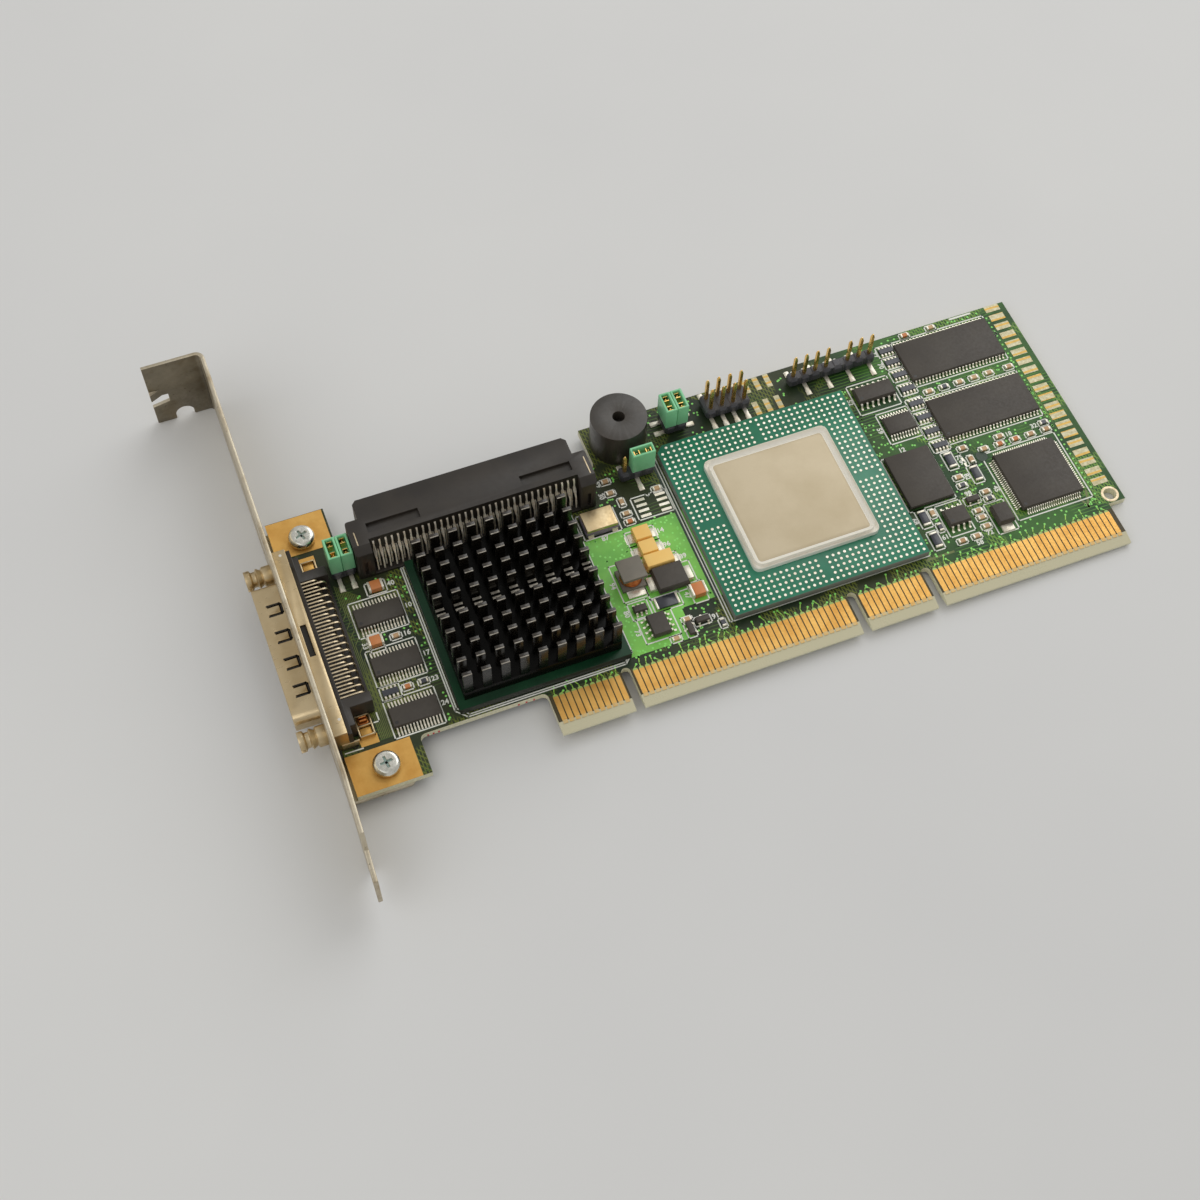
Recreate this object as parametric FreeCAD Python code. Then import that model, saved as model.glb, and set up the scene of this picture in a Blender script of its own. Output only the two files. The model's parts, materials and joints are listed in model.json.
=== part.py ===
import FreeCAD, Part
import os

# A half-length 64-bit storage controller card with its slot bracket, lying component side up.
# Millimetres. X runs along the edge connector, Y towards the card's top edge and Z out of the component side.
# The origin is the lower left corner of the edge connector tongue, on the component face.

# Board outline
boardLength = 167.64
boardHeight = 64.41
boardThickness = 1.57
contactPitch = 1.27
contactPositionCount = 96
keyPositions = (12.5, 50.5, 63.5)      # key notches, counted in contact positions
keyToBoardEnd = 56.21                  # first key notch to the bracket end of the board
keyWidth = 1.9
keyTop = 9.0
keyRounding = 0.49                     # corner radius of a key notch, as a share of its width
shoulderWidth = 3.9                    # step at the lower right corner, beyond the tongue
shoulderHeight = 9.6
cutoutWidth = 25.7                     # finger gap between the tongue and the bracket tab
cutoutHeight = 9.3
tabBottom = 1.2
topNotchMargin = (2.2, 3.0)            # the board is cut back past both ends of the internal connector
topNotchBottom = 54.5
cornerRadius = 1.2
bevelHeight = 2.4
bevelDepth = 0.5
retainerHole = (124.8, 11.6)
retainerHoleRadius = 1.3

# Gold plated contacts and pads
goldThickness = 0.05
fingerWidth = 1.02
fingerBottom = 2.7
fingerTop = 7.9
testPadCount = 20
testPadPitch = 2.54
testPadSize = (3.4, 1.7)
testPadFirst = 15.3
testPadEdgeGap = 1.3                   # pads stop this far from the board's end

groundPadUpper = (55.5, 0.4, 0.1)       # lower edge, gap to the top notch, gap to the board's top edge
groundPadLower = (-27.5, 9.7)          # right and upper edge

# Bracket, a full height one in folded sheet
sheet = 0.86
bracketWidth = 18.42
bracketLength = 120.02
bracketBelowFace = 4.04                # from the component face down to the bracket's lower edge
bracketTop = 100.3                     # outer face of the top flange
bracketGap = 0.96                      # from the board's end to the bracket's inner face
flangeReach = 12.0
tipLength = 7.27
tipWidth = 10.19
screwNotchRadius = 1.9
screwNotchOffset = 6.0                 # notch centre from the bracket's outer face
screwNotchDepth = 3.1
endNotchMouth = (1.5, 4.7)             # lower and upper corner of the end notch, above the component face
endNotchRoot = (2.3, 4.7)
endNotchDepth = 3.7
flangeEarHeight = 2.1                  # corner above the end notch that is bent inwards
flangeEarReach = 1.1
flangeEarLength = 2.4
tailLean = 0.7                         # the lower end of the bracket leans outwards
tailStart = 0.5                        # where the lean begins, along Y
foldRadius = 1.0
tabWidth = 9.0
tabEnd = -28.5
tabCorner = 1.2
tabHoleRadius = 1.47
upperScrew = (-34.2, 58.65)
lowerScrew = (-33.3, 5.4)

# Bracket screws
screwHeadRadius = 2.7
screwHeadHeight = 1.9
screwCrown = 0.9
screwShankRadius = 1.45
screwBoardHoleRadius = 1.6
screwRecessWidth = 0.7
screwRecessLength = 2.9
screwRecessDepth = 0.8

# External connector
portCentre = 32.6
portAxis = 3.1                         # height of the mating axis above the component face
portPitch = 0.8
portContactCount = 34
portWidth = 42.4
portTop = 6.4
portShellDepth = 2.84
hoodWidth = 30.7
hoodHeight = 4.8
hoodWall = 0.4
hoodReach = 5.0                        # beyond the bracket's outer face
hoodCorner = 1.6
hoodClearance = 0.35                   # round the hood in the bracket's window
springTabCount = 4
springTabPitch = 6.1
springTabWidth = 2.4
springTabLength = 2.7
springSlit = 0.4
springRoot = 0.3                       # from the bracket's outer face to the slits
topSlotSize = (1.15, 7.1, 0.6)
bladeThickness = 1.1
bladeWidth = 28.2
bladeReach = 4.0
portBodyBack = -32.0
portBodyTop = 5.5
portCombHeight = 0.8                   # low strip of the moulding that the leads pass into
portWall = 0.85
portWallGap = 0.4                      # leads and end blocks stop this far below the front wall's top
portPlugGap = 0.4                      # the moulding inside the hood stops short of the bracket's outer face
portBlockInner = 13.5                  # end blocks, from the connector's centre
portBlockOuter = 15.7
portLegOuter = 19.4                    # legs that run on from the end blocks, beside the board locks
portLegWidth = 1.95
portLeadWidth = 0.36
portLeadThickness = 0.3
portLeadHeight = 5.0
portLeadLong = -32.85
portLeadShort = -34.2
lockWidth = 3.15
lockLength = 4.7
lockHeight = 0.9
lockWall = 0.35
lockRailShare = 0.5                    # where the cross rail divides the lock
lockPin = (1.7, 1.3, 1.6)              # the split pin in the inner half: along X, along Y, top
lockInset = 0.1                        # from the end leg to the lock

# Jack posts beside the external connector
postSpacing = 36.9
postRadius = 2.05
postReach = 5.3
postHoleRadius = 0.9
postHoleDepth = 4.2
postSlot = 0.7
postSlotDepth = 0.8

# Internal connector
innerLeft = -26.05
innerWing = 4.2                        # from the last contact to the end of the housing
innerCheek = 0.8                       # from the last contact to the side of the contact bay
innerBlockStep = 2.7                   # the mating block is this much shorter at each end
innerFront = 45.6
innerBack = 53.2
innerTop = 9.9
innerCoverFront = 48.1
innerBlockBack = 57.5
innerBlockBottom = 1.4
innerFloor = 0.6
innerPitch = 1.27
innerContactCount = 34
innerRecess = (10.6, 21.3, 1.4, 3.6, 0.8)   # from, to, front offset, back offset, depth
innerCorner = 0.6
innerMateChamfer = 0.8
innerWingSlope = (1.6, 1.3)            # the front of each wing slopes back this far, over this height
innerWingSlot = (1.7, 0.7, 0.6, 1.2, 5.6)   # from the end, width, depth, bottom, top
innerLeadWidth = 0.42
innerLeadThickness = 0.3
innerLeadDrop = 1.0                    # below the top of the housing
innerLeadFoot = 0.5                    # behind the front of the housing

# Host controller with its heat sink
controllerCentre = (0.5, 27.85)
controllerSize = 35.0
controllerBottom = 0.5
controllerTop = 2.3
sinkWidth = 32.0
sinkDepth = 31.6
sinkBase = 3.0
sinkTop = 12.0
finPitch = 3.25
finThickness = 0.9
finCount = 5                           # on each side of the clip channel
shortFinHeight = 3.2
shortFinThickness = 1.7
shortFinGroove = (0.5, 0.7)            # width and depth
shortFinShift = 0.6                    # the low fin stands this far behind the sink's middle
sinkColumnCount = 9
sinkSlot = 1.75

ballMargin = 0.9                       # from a package's edge to its outer balls

# Processor
processorCorner = (40.0, 10.9)
processorSize = 42.5
processorBottom = 0.7
processorTop = 2.48
processorChamfer = 1.5
lidSize = 27.6
lidRadius = 2.2
lidStep = 0.5
lidBrimChamfer = 1.32
lidSkirt = 0.7
lidTop = 1.15                          # above the substrate

# Moulded chip packages: body X, body Y, top height, lead pitch, lead width, lead reach
terminatorPackage = (9.7, 4.4, 1.15, 0.65, 0.3, 1.2)
memoryPackage = (22.22, 10.16, 1.15, 0.8, 0.35, 0.8)
fourteenPinPackage = (8.65, 3.9, 1.75, 1.27, 0.45, 1.1)
twentyPinPackage = (6.6, 4.4, 1.15, 0.65, 0.3, 1.2)
eightPinPackage = (4.9, 3.9, 1.75, 1.27, 0.45, 1.1)
sixPinPackage = (2.9, 1.6, 1.2, 0.95, 0.4, 0.6)
logicPackage = (14.0, 14.0, 1.5, 0.5, 0.25, 1.0)
# Leads on one side of each package
terminatorLeadCount = 14
memoryLeadCount = 27
fourteenPinLeadCount = 7
twentyPinLeadCount = 10
eightPinLeadCount = 4
sixPinLeadCount = 3
logicLeadCount = 25
leadThickness = 0.18
leadFootShare = 0.45                   # share of a lead's reach that lies on the board
bodyStandoff = 0.1
bodyDraft = 0.18
terminatorPlaces = ((-24.95, 36.8), (-24.95, 25.45), (-24.95, 14.05))
memoryPlaces = ((109.9, 56.2), (109.9, 40.4))
fourteenPinPlace = (89.6, 51.4)
twentyPinPlace = (91.3, 42.35)
eepromPlace = (92.0, 17.3)
regulatorPlace = (25.6, 15.2)
switchPlace = (23.5, 19.9)
logicPlace = (112.6, 20.9)
flashPlace = (89.1, 28.7)
flashSize = (10.0, 13.0, 0.25, 1.25)   # along X, along Y, bottom, top
flashDraft = 0.05
transistorPlaces = ((31.2, 12.4, 90), (34.2, 13.5, 0), (97.2, 20.1, 0))   # centre, turn
transistorBody = (2.9, 1.3, 1.1)
transistorDraft = 0.1
transistorLead = (0.95, 0.4, 0.6)      # offset of the outer leads, width, reach

# Oscillator
oscillatorPlace = (23.1, 41.5)
oscillatorSize = (7.0, 5.0)
oscillatorBase = 1.2
oscillatorTop = 2.1
oscillatorRim = 0.15

# Switching supply
inductorPlace = (24.3, 27.0)
inductorSize = 5.1
inductorPlate = 0.8
inductorHeight = 4.5
coilRadius = 2.3
coilHub = 2.4
terminalSize = (3.8, 2.1, 0.35)
terminalFront = 22.8
rectifierPlace = (31.6, 24.2)
rectifierBody = (6.7, 5.5, 2.3)
rectifierLead = (1.3, 3.0)
rectifierLeadHeight = 1.1
rectifierDraft = 0.3
footTuck = 0.4                         # how far a metal foot reaches under its moulded body
yellowCapacitors = ((30.1, 35.7, 3.6, 3.2, 1.9), (30.1, 32.2, 3.6, 3.2, 1.9), (30.9, 28.5, 6.0, 3.0, 2.7))
yellowDraft = 0.12
yellowFoot = (1.0, 0.68)               # how far the end feet stand out, and their share of the body's width
yellowFootHeight = 0.35
senseResistor = (29.2, 19.8, 5.0, 2.5, 0.6)
darkDiode = (101.0, 14.5, 3.7, 4.6, 2.1)
darkDiodeFoot = (2.6, 1.5, 0.5)
darkDiodeDraft = 0.25

# Large ceramic capacitors: centre, length, width, height
largeCapacitors = ((-23.7, 42.9, 3.1, 2.1, 1.4), (-27.4, 31.05, 3.1, 2.1, 1.4), (35.9, 19.8, 3.3, 2.8, 1.6))
endCap = 0.5
# Large chip resistors, standing along Y: centre
tallResistors = ((85.8, 19.5), (85.8, 14.0), (97.3, 30.5), (100.9, 25.7))
tallResistorSize = (1.6, 3.6, 0.6)
# Resistor arrays, along X: centre
arrayPlaces = [(97.1, y) for y in (60.9, 57.7, 54.1, 50.2, 46.1, 42.3, 38.5, 34.7)]
arrayPlaces += [(-28.0, 19.8)]
arraySize = (3.2, 2.4, 0.55)
# Small chip capacitors and resistors: along X, then along Y
smallSize = (1.7, 0.85, 0.6)
smallAlongX = [(x, 47.95) for x in (101.1, 104.7, 108.3, 111.8, 115.4, 120.2)]
smallAlongX += [(x, 63.3) for x in (102.7, 109.0)]
smallAlongX += [(x, 32.3) for x in (101.1, 109.8, 120.3)]
smallAlongX += [(x, 30.6) for x in (105.3, 109.0, 112.7, 116.3, 120.0)]
smallAlongX += [(90.8, 11.95), (94.1, 11.95), (97.1, 17.3), (97.1, 15.6), (97.1, 13.4)]
smallAlongX += [(100.7, 20.9), (100.7, 19.2), (97.0, 26.05), (96.9, 24.0)]
smallAlongX += [(-24.6, 19.8), (-21.3, 19.8), (-23.3, 31.1), (27.8, 11.4), (31.4, 14.65)]
smallAlongX += [(29.2, 41.7), (29.2, 39.7), (37.3, 45.25), (27.9, 50.4), (27.9, 47.4)]
smallAlongY = [(88.0, 20.0), (88.0, 16.4), (37.8, 11.5), (29.3, 44.6), (101.6, 29.2)]

# Buzzer
buzzerPlace = (34.0, 59.0)
buzzerRadius = 5.9
buzzerHeight = 9.0
buzzerHoleRadius = 1.3
buzzerHoleDepth = 3.0

# Pin headers and jumper caps
pinPitch = 2.54
pinWidth = 0.64
pinTop = 9.2
headerHeight = 2.54
headerLegReach = 3.2
headerFrontLegReach = 4.1              # towards the edge connector
headerLegThickness = 0.4
headerLegWidth = 0.9
doubleHeaderPlace = (54.66, 58.4)      # first pin of the front row
doubleHeaderColumnCount = 4
longHeaderPlace = (74.35, 60.0)
longHeaderPinCount = 8
longHeaderMissing = 4                  # this position keeps its base but has no pin
testHeaderPlace = (-29.98, 48.1)
fanHeaderPlace = (45.0, 57.8)
shortHeaderPlace = (31.9, 49.9)
shortHeaderPinCount = 3
capTop = 8.7
capHeight = 6.1
capWidth = 2.46
capLength = 4.9
capWindow = (1.5, 4.1, 2.2)
capPinTop = 7.9
capPinClearance = 0.05                 # round a pin in a jumper cap
padWidth = 1.2
padLength = 3.4
padOffset = 1.7                        # from a pin row to the middle of its pad
spareColumnCount = 3


def vec(x, y, z):
    return FreeCAD.Vector(x, y, z)


def box(x0, x1, y0, y1, z0, z1):
    return Part.makeBox(x1 - x0, y1 - y0, z1 - z0, vec(x0, y0, z0))


def block(x, y, sizeX, sizeY, z0, z1):
    """A box centred on x, y."""
    return box(x - sizeX / 2, x + sizeX / 2, y - sizeY / 2, y + sizeY / 2, z0, z1)


def prism(points, along):
    return Part.Face(Part.makePolygon(points + [points[0]])).extrude(along)


def cut(shape, tools):
    return shape.cut(Part.makeCompound(tools))


def save(name, shapes):
    """Write one node. Like pieces share a node as separate solids."""
    solids = [solid for shape in shapes for solid in shape.Solids]
    shape = solids[0] if len(solids) == 1 else Part.makeCompound(solids)
    shape.exportStep("parts/" + name + ".step")


def uprightEdges(shape, test):
    """Edges that run along Z and pass the test on their middle point."""
    found = []
    for edge in shape.Edges:
        middle = edge.BoundBox.Center
        if edge.BoundBox.ZLength > 0.1 and edge.BoundBox.DiagonalLength < edge.BoundBox.ZLength * 1.01:
            if test(middle):
                found.append(edge)
    return found


boardLeft = keyPositions[0] * contactPitch - keyToBoardEnd
boardRight = boardLeft + boardLength
tongueLength = boardRight - shoulderWidth
innerContactSpan = (innerContactCount - 1) * innerPitch
innerWidth = innerContactSpan + 2 * innerWing
innerCentre = innerLeft + innerWidth / 2
topNotchStart = innerLeft - topNotchMargin[0]
topNotchEnd = innerLeft + innerWidth + topNotchMargin[1]
bracketInner = boardLeft - bracketGap
bracketOuter = bracketInner - sheet
bracketLow = -bracketBelowFace
bracketHigh = bracketLow + bracketWidth
bracketTip = bracketTop - bracketLength


def contactCentres():
    """Places of the edge contacts along X, without the positions that the key notches take."""
    keyed = [int(key + side) for key in keyPositions for side in (0, 1)]
    return [n * contactPitch for n in range(1, contactPositionCount + 1) if n not in keyed]


def board():
    bottom = -boardThickness
    body = box(boardLeft, boardRight, 0, boardHeight, bottom, 0)
    gaps = [
        box(-cutoutWidth, 0, -1, cutoutHeight, bottom - 1, 1),
        box(topNotchStart, topNotchEnd, topNotchBottom, boardHeight + 1, bottom - 1, 1),
    ]
    corners = [uprightEdges(gap, lambda p: 0 < p.y < boardHeight) for gap in gaps]
    body = cut(body, [gap.makeFillet(cornerRadius, edges) for gap, edges in zip(gaps, corners)])
    body = cut(body, [
        box(tongueLength, boardRight + 1, -1, shoulderHeight, bottom - 1, 1),
        box(boardLeft - 1, -cutoutWidth, -1, tabBottom, bottom - 1, 1),
    ])
    notches = []
    for key in keyPositions:
        x = key * contactPitch
        notch = box(x - keyWidth / 2, x + keyWidth / 2, -1, keyTop, bottom - 1, 1)
        notches.append(notch.makeFillet(keyWidth * keyRounding, uprightEdges(notch, lambda p: p.y > 0)))
    holes = [Part.makeCylinder(retainerHoleRadius, boardThickness + 2, vec(*retainerHole, bottom - 1))]
    for x, y in (upperScrew, lowerScrew):
        holes.append(Part.makeCylinder(screwBoardHoleRadius, boardThickness + 2, vec(x, y, bottom - 1)))
    bevels = []
    for face, inward in ((0, -1), (bottom, 1)):
        outside = face - inward
        inside = face + inward * bevelDepth
        profile = [(-1, outside), (bevelHeight, outside), (bevelHeight, face), (0, inside), (-1, inside)]
        bevels.append(prism([vec(-1, y, z) for y, z in profile], vec(tongueLength + 2, 0, 0)))
    return cut(body, notches + holes + bevels)


def edgeContacts():
    half = fingerWidth / 2
    return [box(x - half, x + half, fingerBottom, fingerTop, 0, goldThickness) for x in contactCentres()]


def groundPads():
    """Bare plated areas under the bracket screws, open round the screw holes."""
    bottom, notchGap, topGap = groundPadUpper
    upper = box(boardLeft, topNotchStart - notchGap, bottom, boardHeight - topGap, 0, goldThickness)
    lower = box(boardLeft, groundPadLower[0], tabBottom, groundPadLower[1], 0, goldThickness)
    relief = 2 * screwBoardHoleRadius
    holes = [block(x, y, relief, relief, -1, 1) for x, y in (upperScrew, lowerScrew)]
    return [cut(upper, holes), cut(lower, holes)]


def testPads():
    lengthX, lengthY = testPadSize
    x = boardRight - testPadEdgeGap - lengthX / 2
    rows = [testPadFirst + testPadPitch * i for i in range(testPadCount)]
    return [block(x, y, lengthX, lengthY, 0, goldThickness) for y in rows]


def sparePads():
    """Unfilled positions that continue the two-row header."""
    x0, y0 = doubleHeaderPlace
    pads = []
    for i in range(spareColumnCount):
        x = x0 + pinPitch * (doubleHeaderColumnCount + i)
        for y in (y0 - padOffset, y0 + pinPitch + padOffset):
            pads.append(block(x, y, padWidth, padLength, 0, goldThickness))
    return pads


def bracket():
    """One folded sheet: long plate, narrow tip, top flange and two tabs under the board."""
    middle = (bracketLow + bracketHigh) / 2
    end = bracketOuter - flangeReach
    profile = [(bracketInner - tailLean, bracketTip), (bracketInner, tailStart), (bracketInner, bracketTop)]
    profile += [(end, bracketTop), (end, bracketTop - sheet), (bracketOuter, bracketTop - sheet)]
    profile += [(bracketOuter, tailStart), (bracketOuter - tailLean, bracketTip)]
    body = prism([vec(x, y, bracketLow) for x, y in profile], vec(0, 0, bracketWidth))
    innerFold = uprightEdges(body, lambda p: abs(p.x - bracketOuter) < 0.1 and p.y > bracketTop - sheet - 0.1)
    body = body.makeFillet(foldRadius, innerFold)
    outerFold = uprightEdges(body, lambda p: p.x > bracketOuter + 0.1 and p.y > bracketTop - 0.1)
    body = body.makeFillet(foldRadius + sheet, outerFold)
    shoulders = []
    for side in (-1, 1):
        inner = middle + side * tipWidth / 2
        outer = middle + side * (bracketWidth / 2 + 1)
        points = [(bracketTip - 1, inner), (bracketTip + tipLength - 1, inner)]
        points += [(bracketTip + tipLength + 1, outer), (bracketTip - 1, outer)]
        outline = [vec(bracketOuter - tailLean - 1, y, z) for y, z in points]
        shoulders.append(prism(outline, vec(sheet + tailLean + 2, 0, 0)))
    tabTop = -boardThickness
    tabs = []
    for x, y in (upperScrew, lowerScrew):
        tab = box(bracketInner, tabEnd, y - tabWidth / 2, y + tabWidth / 2, tabTop - sheet, tabTop)
        tabs.append(tab.makeChamfer(tabCorner, uprightEdges(tab, lambda p: p.x > tabEnd - 0.1)))
    face = bracketTop - sheet
    ear = [vec(end, face, endNotchMouth[1]), vec(end + flangeEarLength, face, endNotchMouth[1])]
    ear.append(vec(end, face - flangeEarReach, endNotchMouth[1]))
    tabs.append(prism(ear, vec(0, 0, flangeEarHeight)))
    body = body.fuse(tabs).removeSplitter()
    holes = []
    for x, y in (upperScrew, lowerScrew):
        holes.append(Part.makeCylinder(tabHoleRadius, sheet + 2, vec(x, y, tabTop - sheet - 1)))
    holes.append(hoodSection(hoodClearance, bracketOuter - 1, bracketInner + 1))
    x = bracketOuter - screwNotchOffset
    z = bracketLow + screwNotchDepth - screwNotchRadius
    holes.append(Part.makeCylinder(screwNotchRadius, sheet + 2, vec(x, face - 1, z), vec(0, 1, 0)))
    holes.append(box(x - screwNotchRadius, x + screwNotchRadius, face - 1, bracketTop + 1, bracketLow - 1, z))
    root = end + endNotchDepth
    points = [(end - 1, endNotchMouth[0]), (end, endNotchMouth[0]), (root, endNotchRoot[0])]
    points += [(root, endNotchRoot[1]), (end - 1, endNotchMouth[1])]
    mouth = [vec(x, face - flangeEarReach - 1, z) for x, z in points]
    holes.append(prism(mouth, vec(0, sheet + flangeEarReach + 2, 0)))
    return cut(body, shoulders + holes)


def bracketScrews():
    """Pan head screws, each a turned profile with a cross recess."""
    screws = []
    for x, y in (upperScrew, lowerScrew):
        top = goldThickness + screwHeadHeight
        end = -boardThickness - sheet
        profile = [(0, end), (screwShankRadius, end), (screwShankRadius, goldThickness)]
        profile += [(screwHeadRadius, goldThickness), (screwHeadRadius - screwCrown, top), (0, top)]
        points = [vec(x + r, y, z) for r, z in profile]
        screw = Part.Face(Part.makePolygon(points + [points[0]])).revolve(vec(x, y, 0), vec(0, 0, 1), 360)
        recess = [block(x, y, screwRecessLength, screwRecessWidth, top - screwRecessDepth, top + 1)]
        recess.append(block(x, y, screwRecessWidth, screwRecessLength, top - screwRecessDepth, top + 1))
        screws.append(cut(screw, recess))
    return screws


def hoodSection(grow, x0, x1):
    """A length of the external connector's rounded mating outline, grown by a clearance or a wall."""
    width = hoodWidth + 2 * grow
    height = hoodHeight + 2 * grow
    section = block((x0 + x1) / 2, portCentre, x1 - x0, width, portAxis - height / 2, portAxis + height / 2)
    edges = [e for e in section.Edges if e.BoundBox.XLength > (x1 - x0) * 0.9]
    return section.makeFillet(hoodCorner + grow, edges)


def portShell():
    """Plated shell: a rear block behind the bracket and a thin hood through it with spring tabs."""
    back = bracketInner + portShellDepth
    rear = box(bracketInner, back, portCentre - portWidth / 2, portCentre + portWidth / 2, 0, portTop)
    nose = bracketOuter - hoodReach
    hood = hoodSection(0, nose, bracketInner)
    slitEnd = bracketOuter - springRoot
    slitStart = slitEnd - springTabLength
    cuts = [hoodSection(-hoodWall, nose - 1, back + 1)]
    low = portAxis - hoodHeight
    high = portAxis + hoodHeight
    for i in range(springTabCount):
        y = portCentre + springTabPitch * (i - (springTabCount - 1) / 2)
        half = springTabWidth / 2
        outline = box(slitStart, slitEnd, y - half, y + half, low, high)
        half -= springSlit
        tongue = box(slitStart - 1, slitEnd - springSlit, y - half, y + half, low - 1, high + 1)
        cuts.append(outline.cut(tongue))
    slotX = (bracketInner + back) / 2
    sizeX, sizeY, depth = topSlotSize
    cuts.append(block(slotX, portCentre, sizeX, sizeY, portTop - depth, portTop + 1))
    return cut(rear.fuse(hood), cuts)


def portBody():
    """Black moulding: front wall, two end blocks, a low comb for the leads and the contact blade."""
    front = bracketInner + portShellDepth
    low = portCentre - portWidth / 2
    high = portCentre + portWidth / 2
    wall = box(front, front + portWall, low, high, 0, portBodyTop)
    combLow = portCentre - portBlockInner
    combHigh = portCentre + portBlockInner
    pieces = [box(front, portBodyBack, combLow, combHigh, 0, portCombHeight)]
    for side in (-1, 1):
        inner = portCentre + side * portBlockInner
        for outer, back in ((portBlockOuter, portBodyBack), (portLegOuter, front + portLegWidth)):
            y = portCentre + side * outer
            pieces.append(box(front, back, min(inner, y), max(inner, y), 0, portBodyTop - portWallGap))
    plug = hoodSection(-hoodWall, bracketOuter - portPlugGap, front)
    blade = block(bracketOuter - bladeReach / 2, portCentre, bladeReach, bladeWidth,
                  portAxis - bladeThickness / 2, portAxis + bladeThickness / 2)
    return wall.fuse(pieces + [plug, blade]).removeSplitter()


def portLeads():
    """Exposed leads behind the external connector, alternately long and short, sloping down to the comb."""
    start = bracketInner + portShellDepth + portWall
    top = portLeadHeight
    leads = []
    for i in range(portContactCount):
        y = portCentre + portPitch * (i - (portContactCount - 1) / 2) - portLeadWidth / 2
        end = portLeadLong if i % 2 == 0 else portLeadShort
        outline = [(start, top), (end, portCombHeight), (end - portLeadThickness, portCombHeight)]
        outline.append((start, top - portLeadThickness))
        leads.append(prism([vec(x, y, z) for x, z in outline], vec(0, portLeadWidth, 0)))
    return leads


def boardLocks():
    """Metal board locks at both ends of the external connector: a frame, a cross rail and a split pin."""
    locks = []
    x = bracketInner + portShellDepth + portLegWidth + lockInset + lockWidth / 2
    sizeX, sizeY, top = lockPin
    for side in (-1, 1):
        y = portCentre + side * (portBlockOuter + lockLength / 2)
        frame = block(x, y, lockWidth, lockLength, 0, lockHeight)
        hollow = block(x, y, lockWidth - 2 * lockWall, lockLength - 2 * lockWall, lockWall, lockHeight + 1)
        rail = block(x, y + side * lockLength * (lockRailShare - 0.5), lockWidth, lockWall, 0, lockHeight)
        pin = block(x, y - side * lockLength / 4, sizeX, sizeY, 0, top)
        locks.append(frame.cut(hollow).fuse([rail, pin]).removeSplitter())
    return locks


def jackPosts():
    """Turned posts with a slotted end, tapped for the cable's screws."""
    end = bracketOuter - postReach
    posts = []
    for side in (-1, 1):
        y = portCentre + side * postSpacing / 2
        post = Part.makeCylinder(postRadius, postReach, vec(end, y, portAxis), vec(1, 0, 0))
        bore = Part.makeCylinder(postHoleRadius, postHoleDepth + 1, vec(end - 1, y, portAxis), vec(1, 0, 0))
        slot = box(end - 1, end + postSlotDepth, y - 2 * postRadius, y + 2 * postRadius,
                   portAxis - postSlot / 2, portAxis + postSlot / 2)
        posts.append(cut(post, [bore, slot]))
    return posts


def innerBody():
    """Black right-angle connector: end wings, a bridge over the contact bay and the mating block."""
    low = innerCentre - innerWidth / 2
    high = innerCentre + innerWidth / 2
    body = box(low, high, innerFront, innerBack, 0, innerTop)
    body = body.makeFillet(innerCorner, uprightEdges(body, lambda p: True))
    mateWidth = innerWidth - 2 * innerBlockStep
    mateDepth = innerBlockBack - innerBack
    mate = block(innerCentre, innerBack + mateDepth / 2, mateWidth, mateDepth, innerBlockBottom, innerTop)
    tapers = uprightEdges(mate, lambda p: p.y > innerBlockBack - 0.1)
    body = body.fuse(mate.makeChamfer(innerMateChamfer, tapers)).removeSplitter()
    bayWidth = innerContactSpan + 2 * innerCheek
    bayDepth = innerCoverFront - innerFront + 1
    bayMiddle = innerCoverFront - bayDepth / 2
    cuts = [block(innerCentre, bayMiddle, bayWidth, bayDepth, innerFloor, innerTop + 1)]
    back, drop = innerWingSlope
    slope = [(innerFront - 1, innerTop + 1), (innerFront - 1, innerTop - drop), (innerFront, innerTop - drop)]
    slope += [(innerFront + back, innerTop), (innerFront + back, innerTop + 1)]
    cuts.append(prism([vec(low - 1, y, z) for y, z in slope], vec(innerWidth + 2, 0, 0)))
    start, end, front, back, depth = innerRecess
    slotInset, slotWidth, slotDepth, slotLow, slotHigh = innerWingSlot
    for side in (-1, 1):
        x0 = innerCentre + side * start
        x1 = innerCentre + side * end
        recess = box(min(x0, x1), max(x0, x1), innerCoverFront + front, innerCoverFront + back,
                     innerTop - depth, innerTop + 1)
        slotX = innerCentre + side * (innerWidth / 2 - slotInset)
        cuts += [recess, block(slotX, innerFront, slotWidth, 2 * slotDepth, slotLow, slotHigh)]
    return cut(body, cuts)


def innerLeads():
    """Flat contacts that slope from the cover down to the front of the bay, one for each position."""
    top = innerTop - innerLeadDrop
    foot = innerFront + innerLeadFoot
    outline = [(innerCoverFront, top), (foot, innerFloor), (foot + innerLeadThickness, innerFloor)]
    outline.append((innerCoverFront, top - innerLeadThickness * 2))
    leads = []
    for i in range(innerContactCount):
        x = innerCentre + innerPitch * i - innerContactSpan / 2 - innerLeadWidth / 2
        leads.append(prism([vec(x, y, z) for y, z in outline], vec(innerLeadWidth, 0, 0)))
    return leads


def controller():
    x, y = controllerCentre
    return block(x, y, controllerSize, controllerSize, controllerBottom, controllerTop)


def solderBalls():
    """The ball fields under the three packages without leads, each as one low slab closed by its rim."""
    half = processorSize / 2
    slabs = []
    for x, y, sizeX, sizeY, top in (
        (*controllerCentre, controllerSize, controllerSize, controllerBottom),
        (processorCorner[0] + half, processorCorner[1] + half, processorSize, processorSize, processorBottom),
        (*flashPlace, flashSize[0], flashSize[1], flashSize[2]),
    ):
        slabs.append(block(x, y, sizeX - 2 * ballMargin, sizeY - 2 * ballMargin, 0, top))
    return slabs


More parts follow.
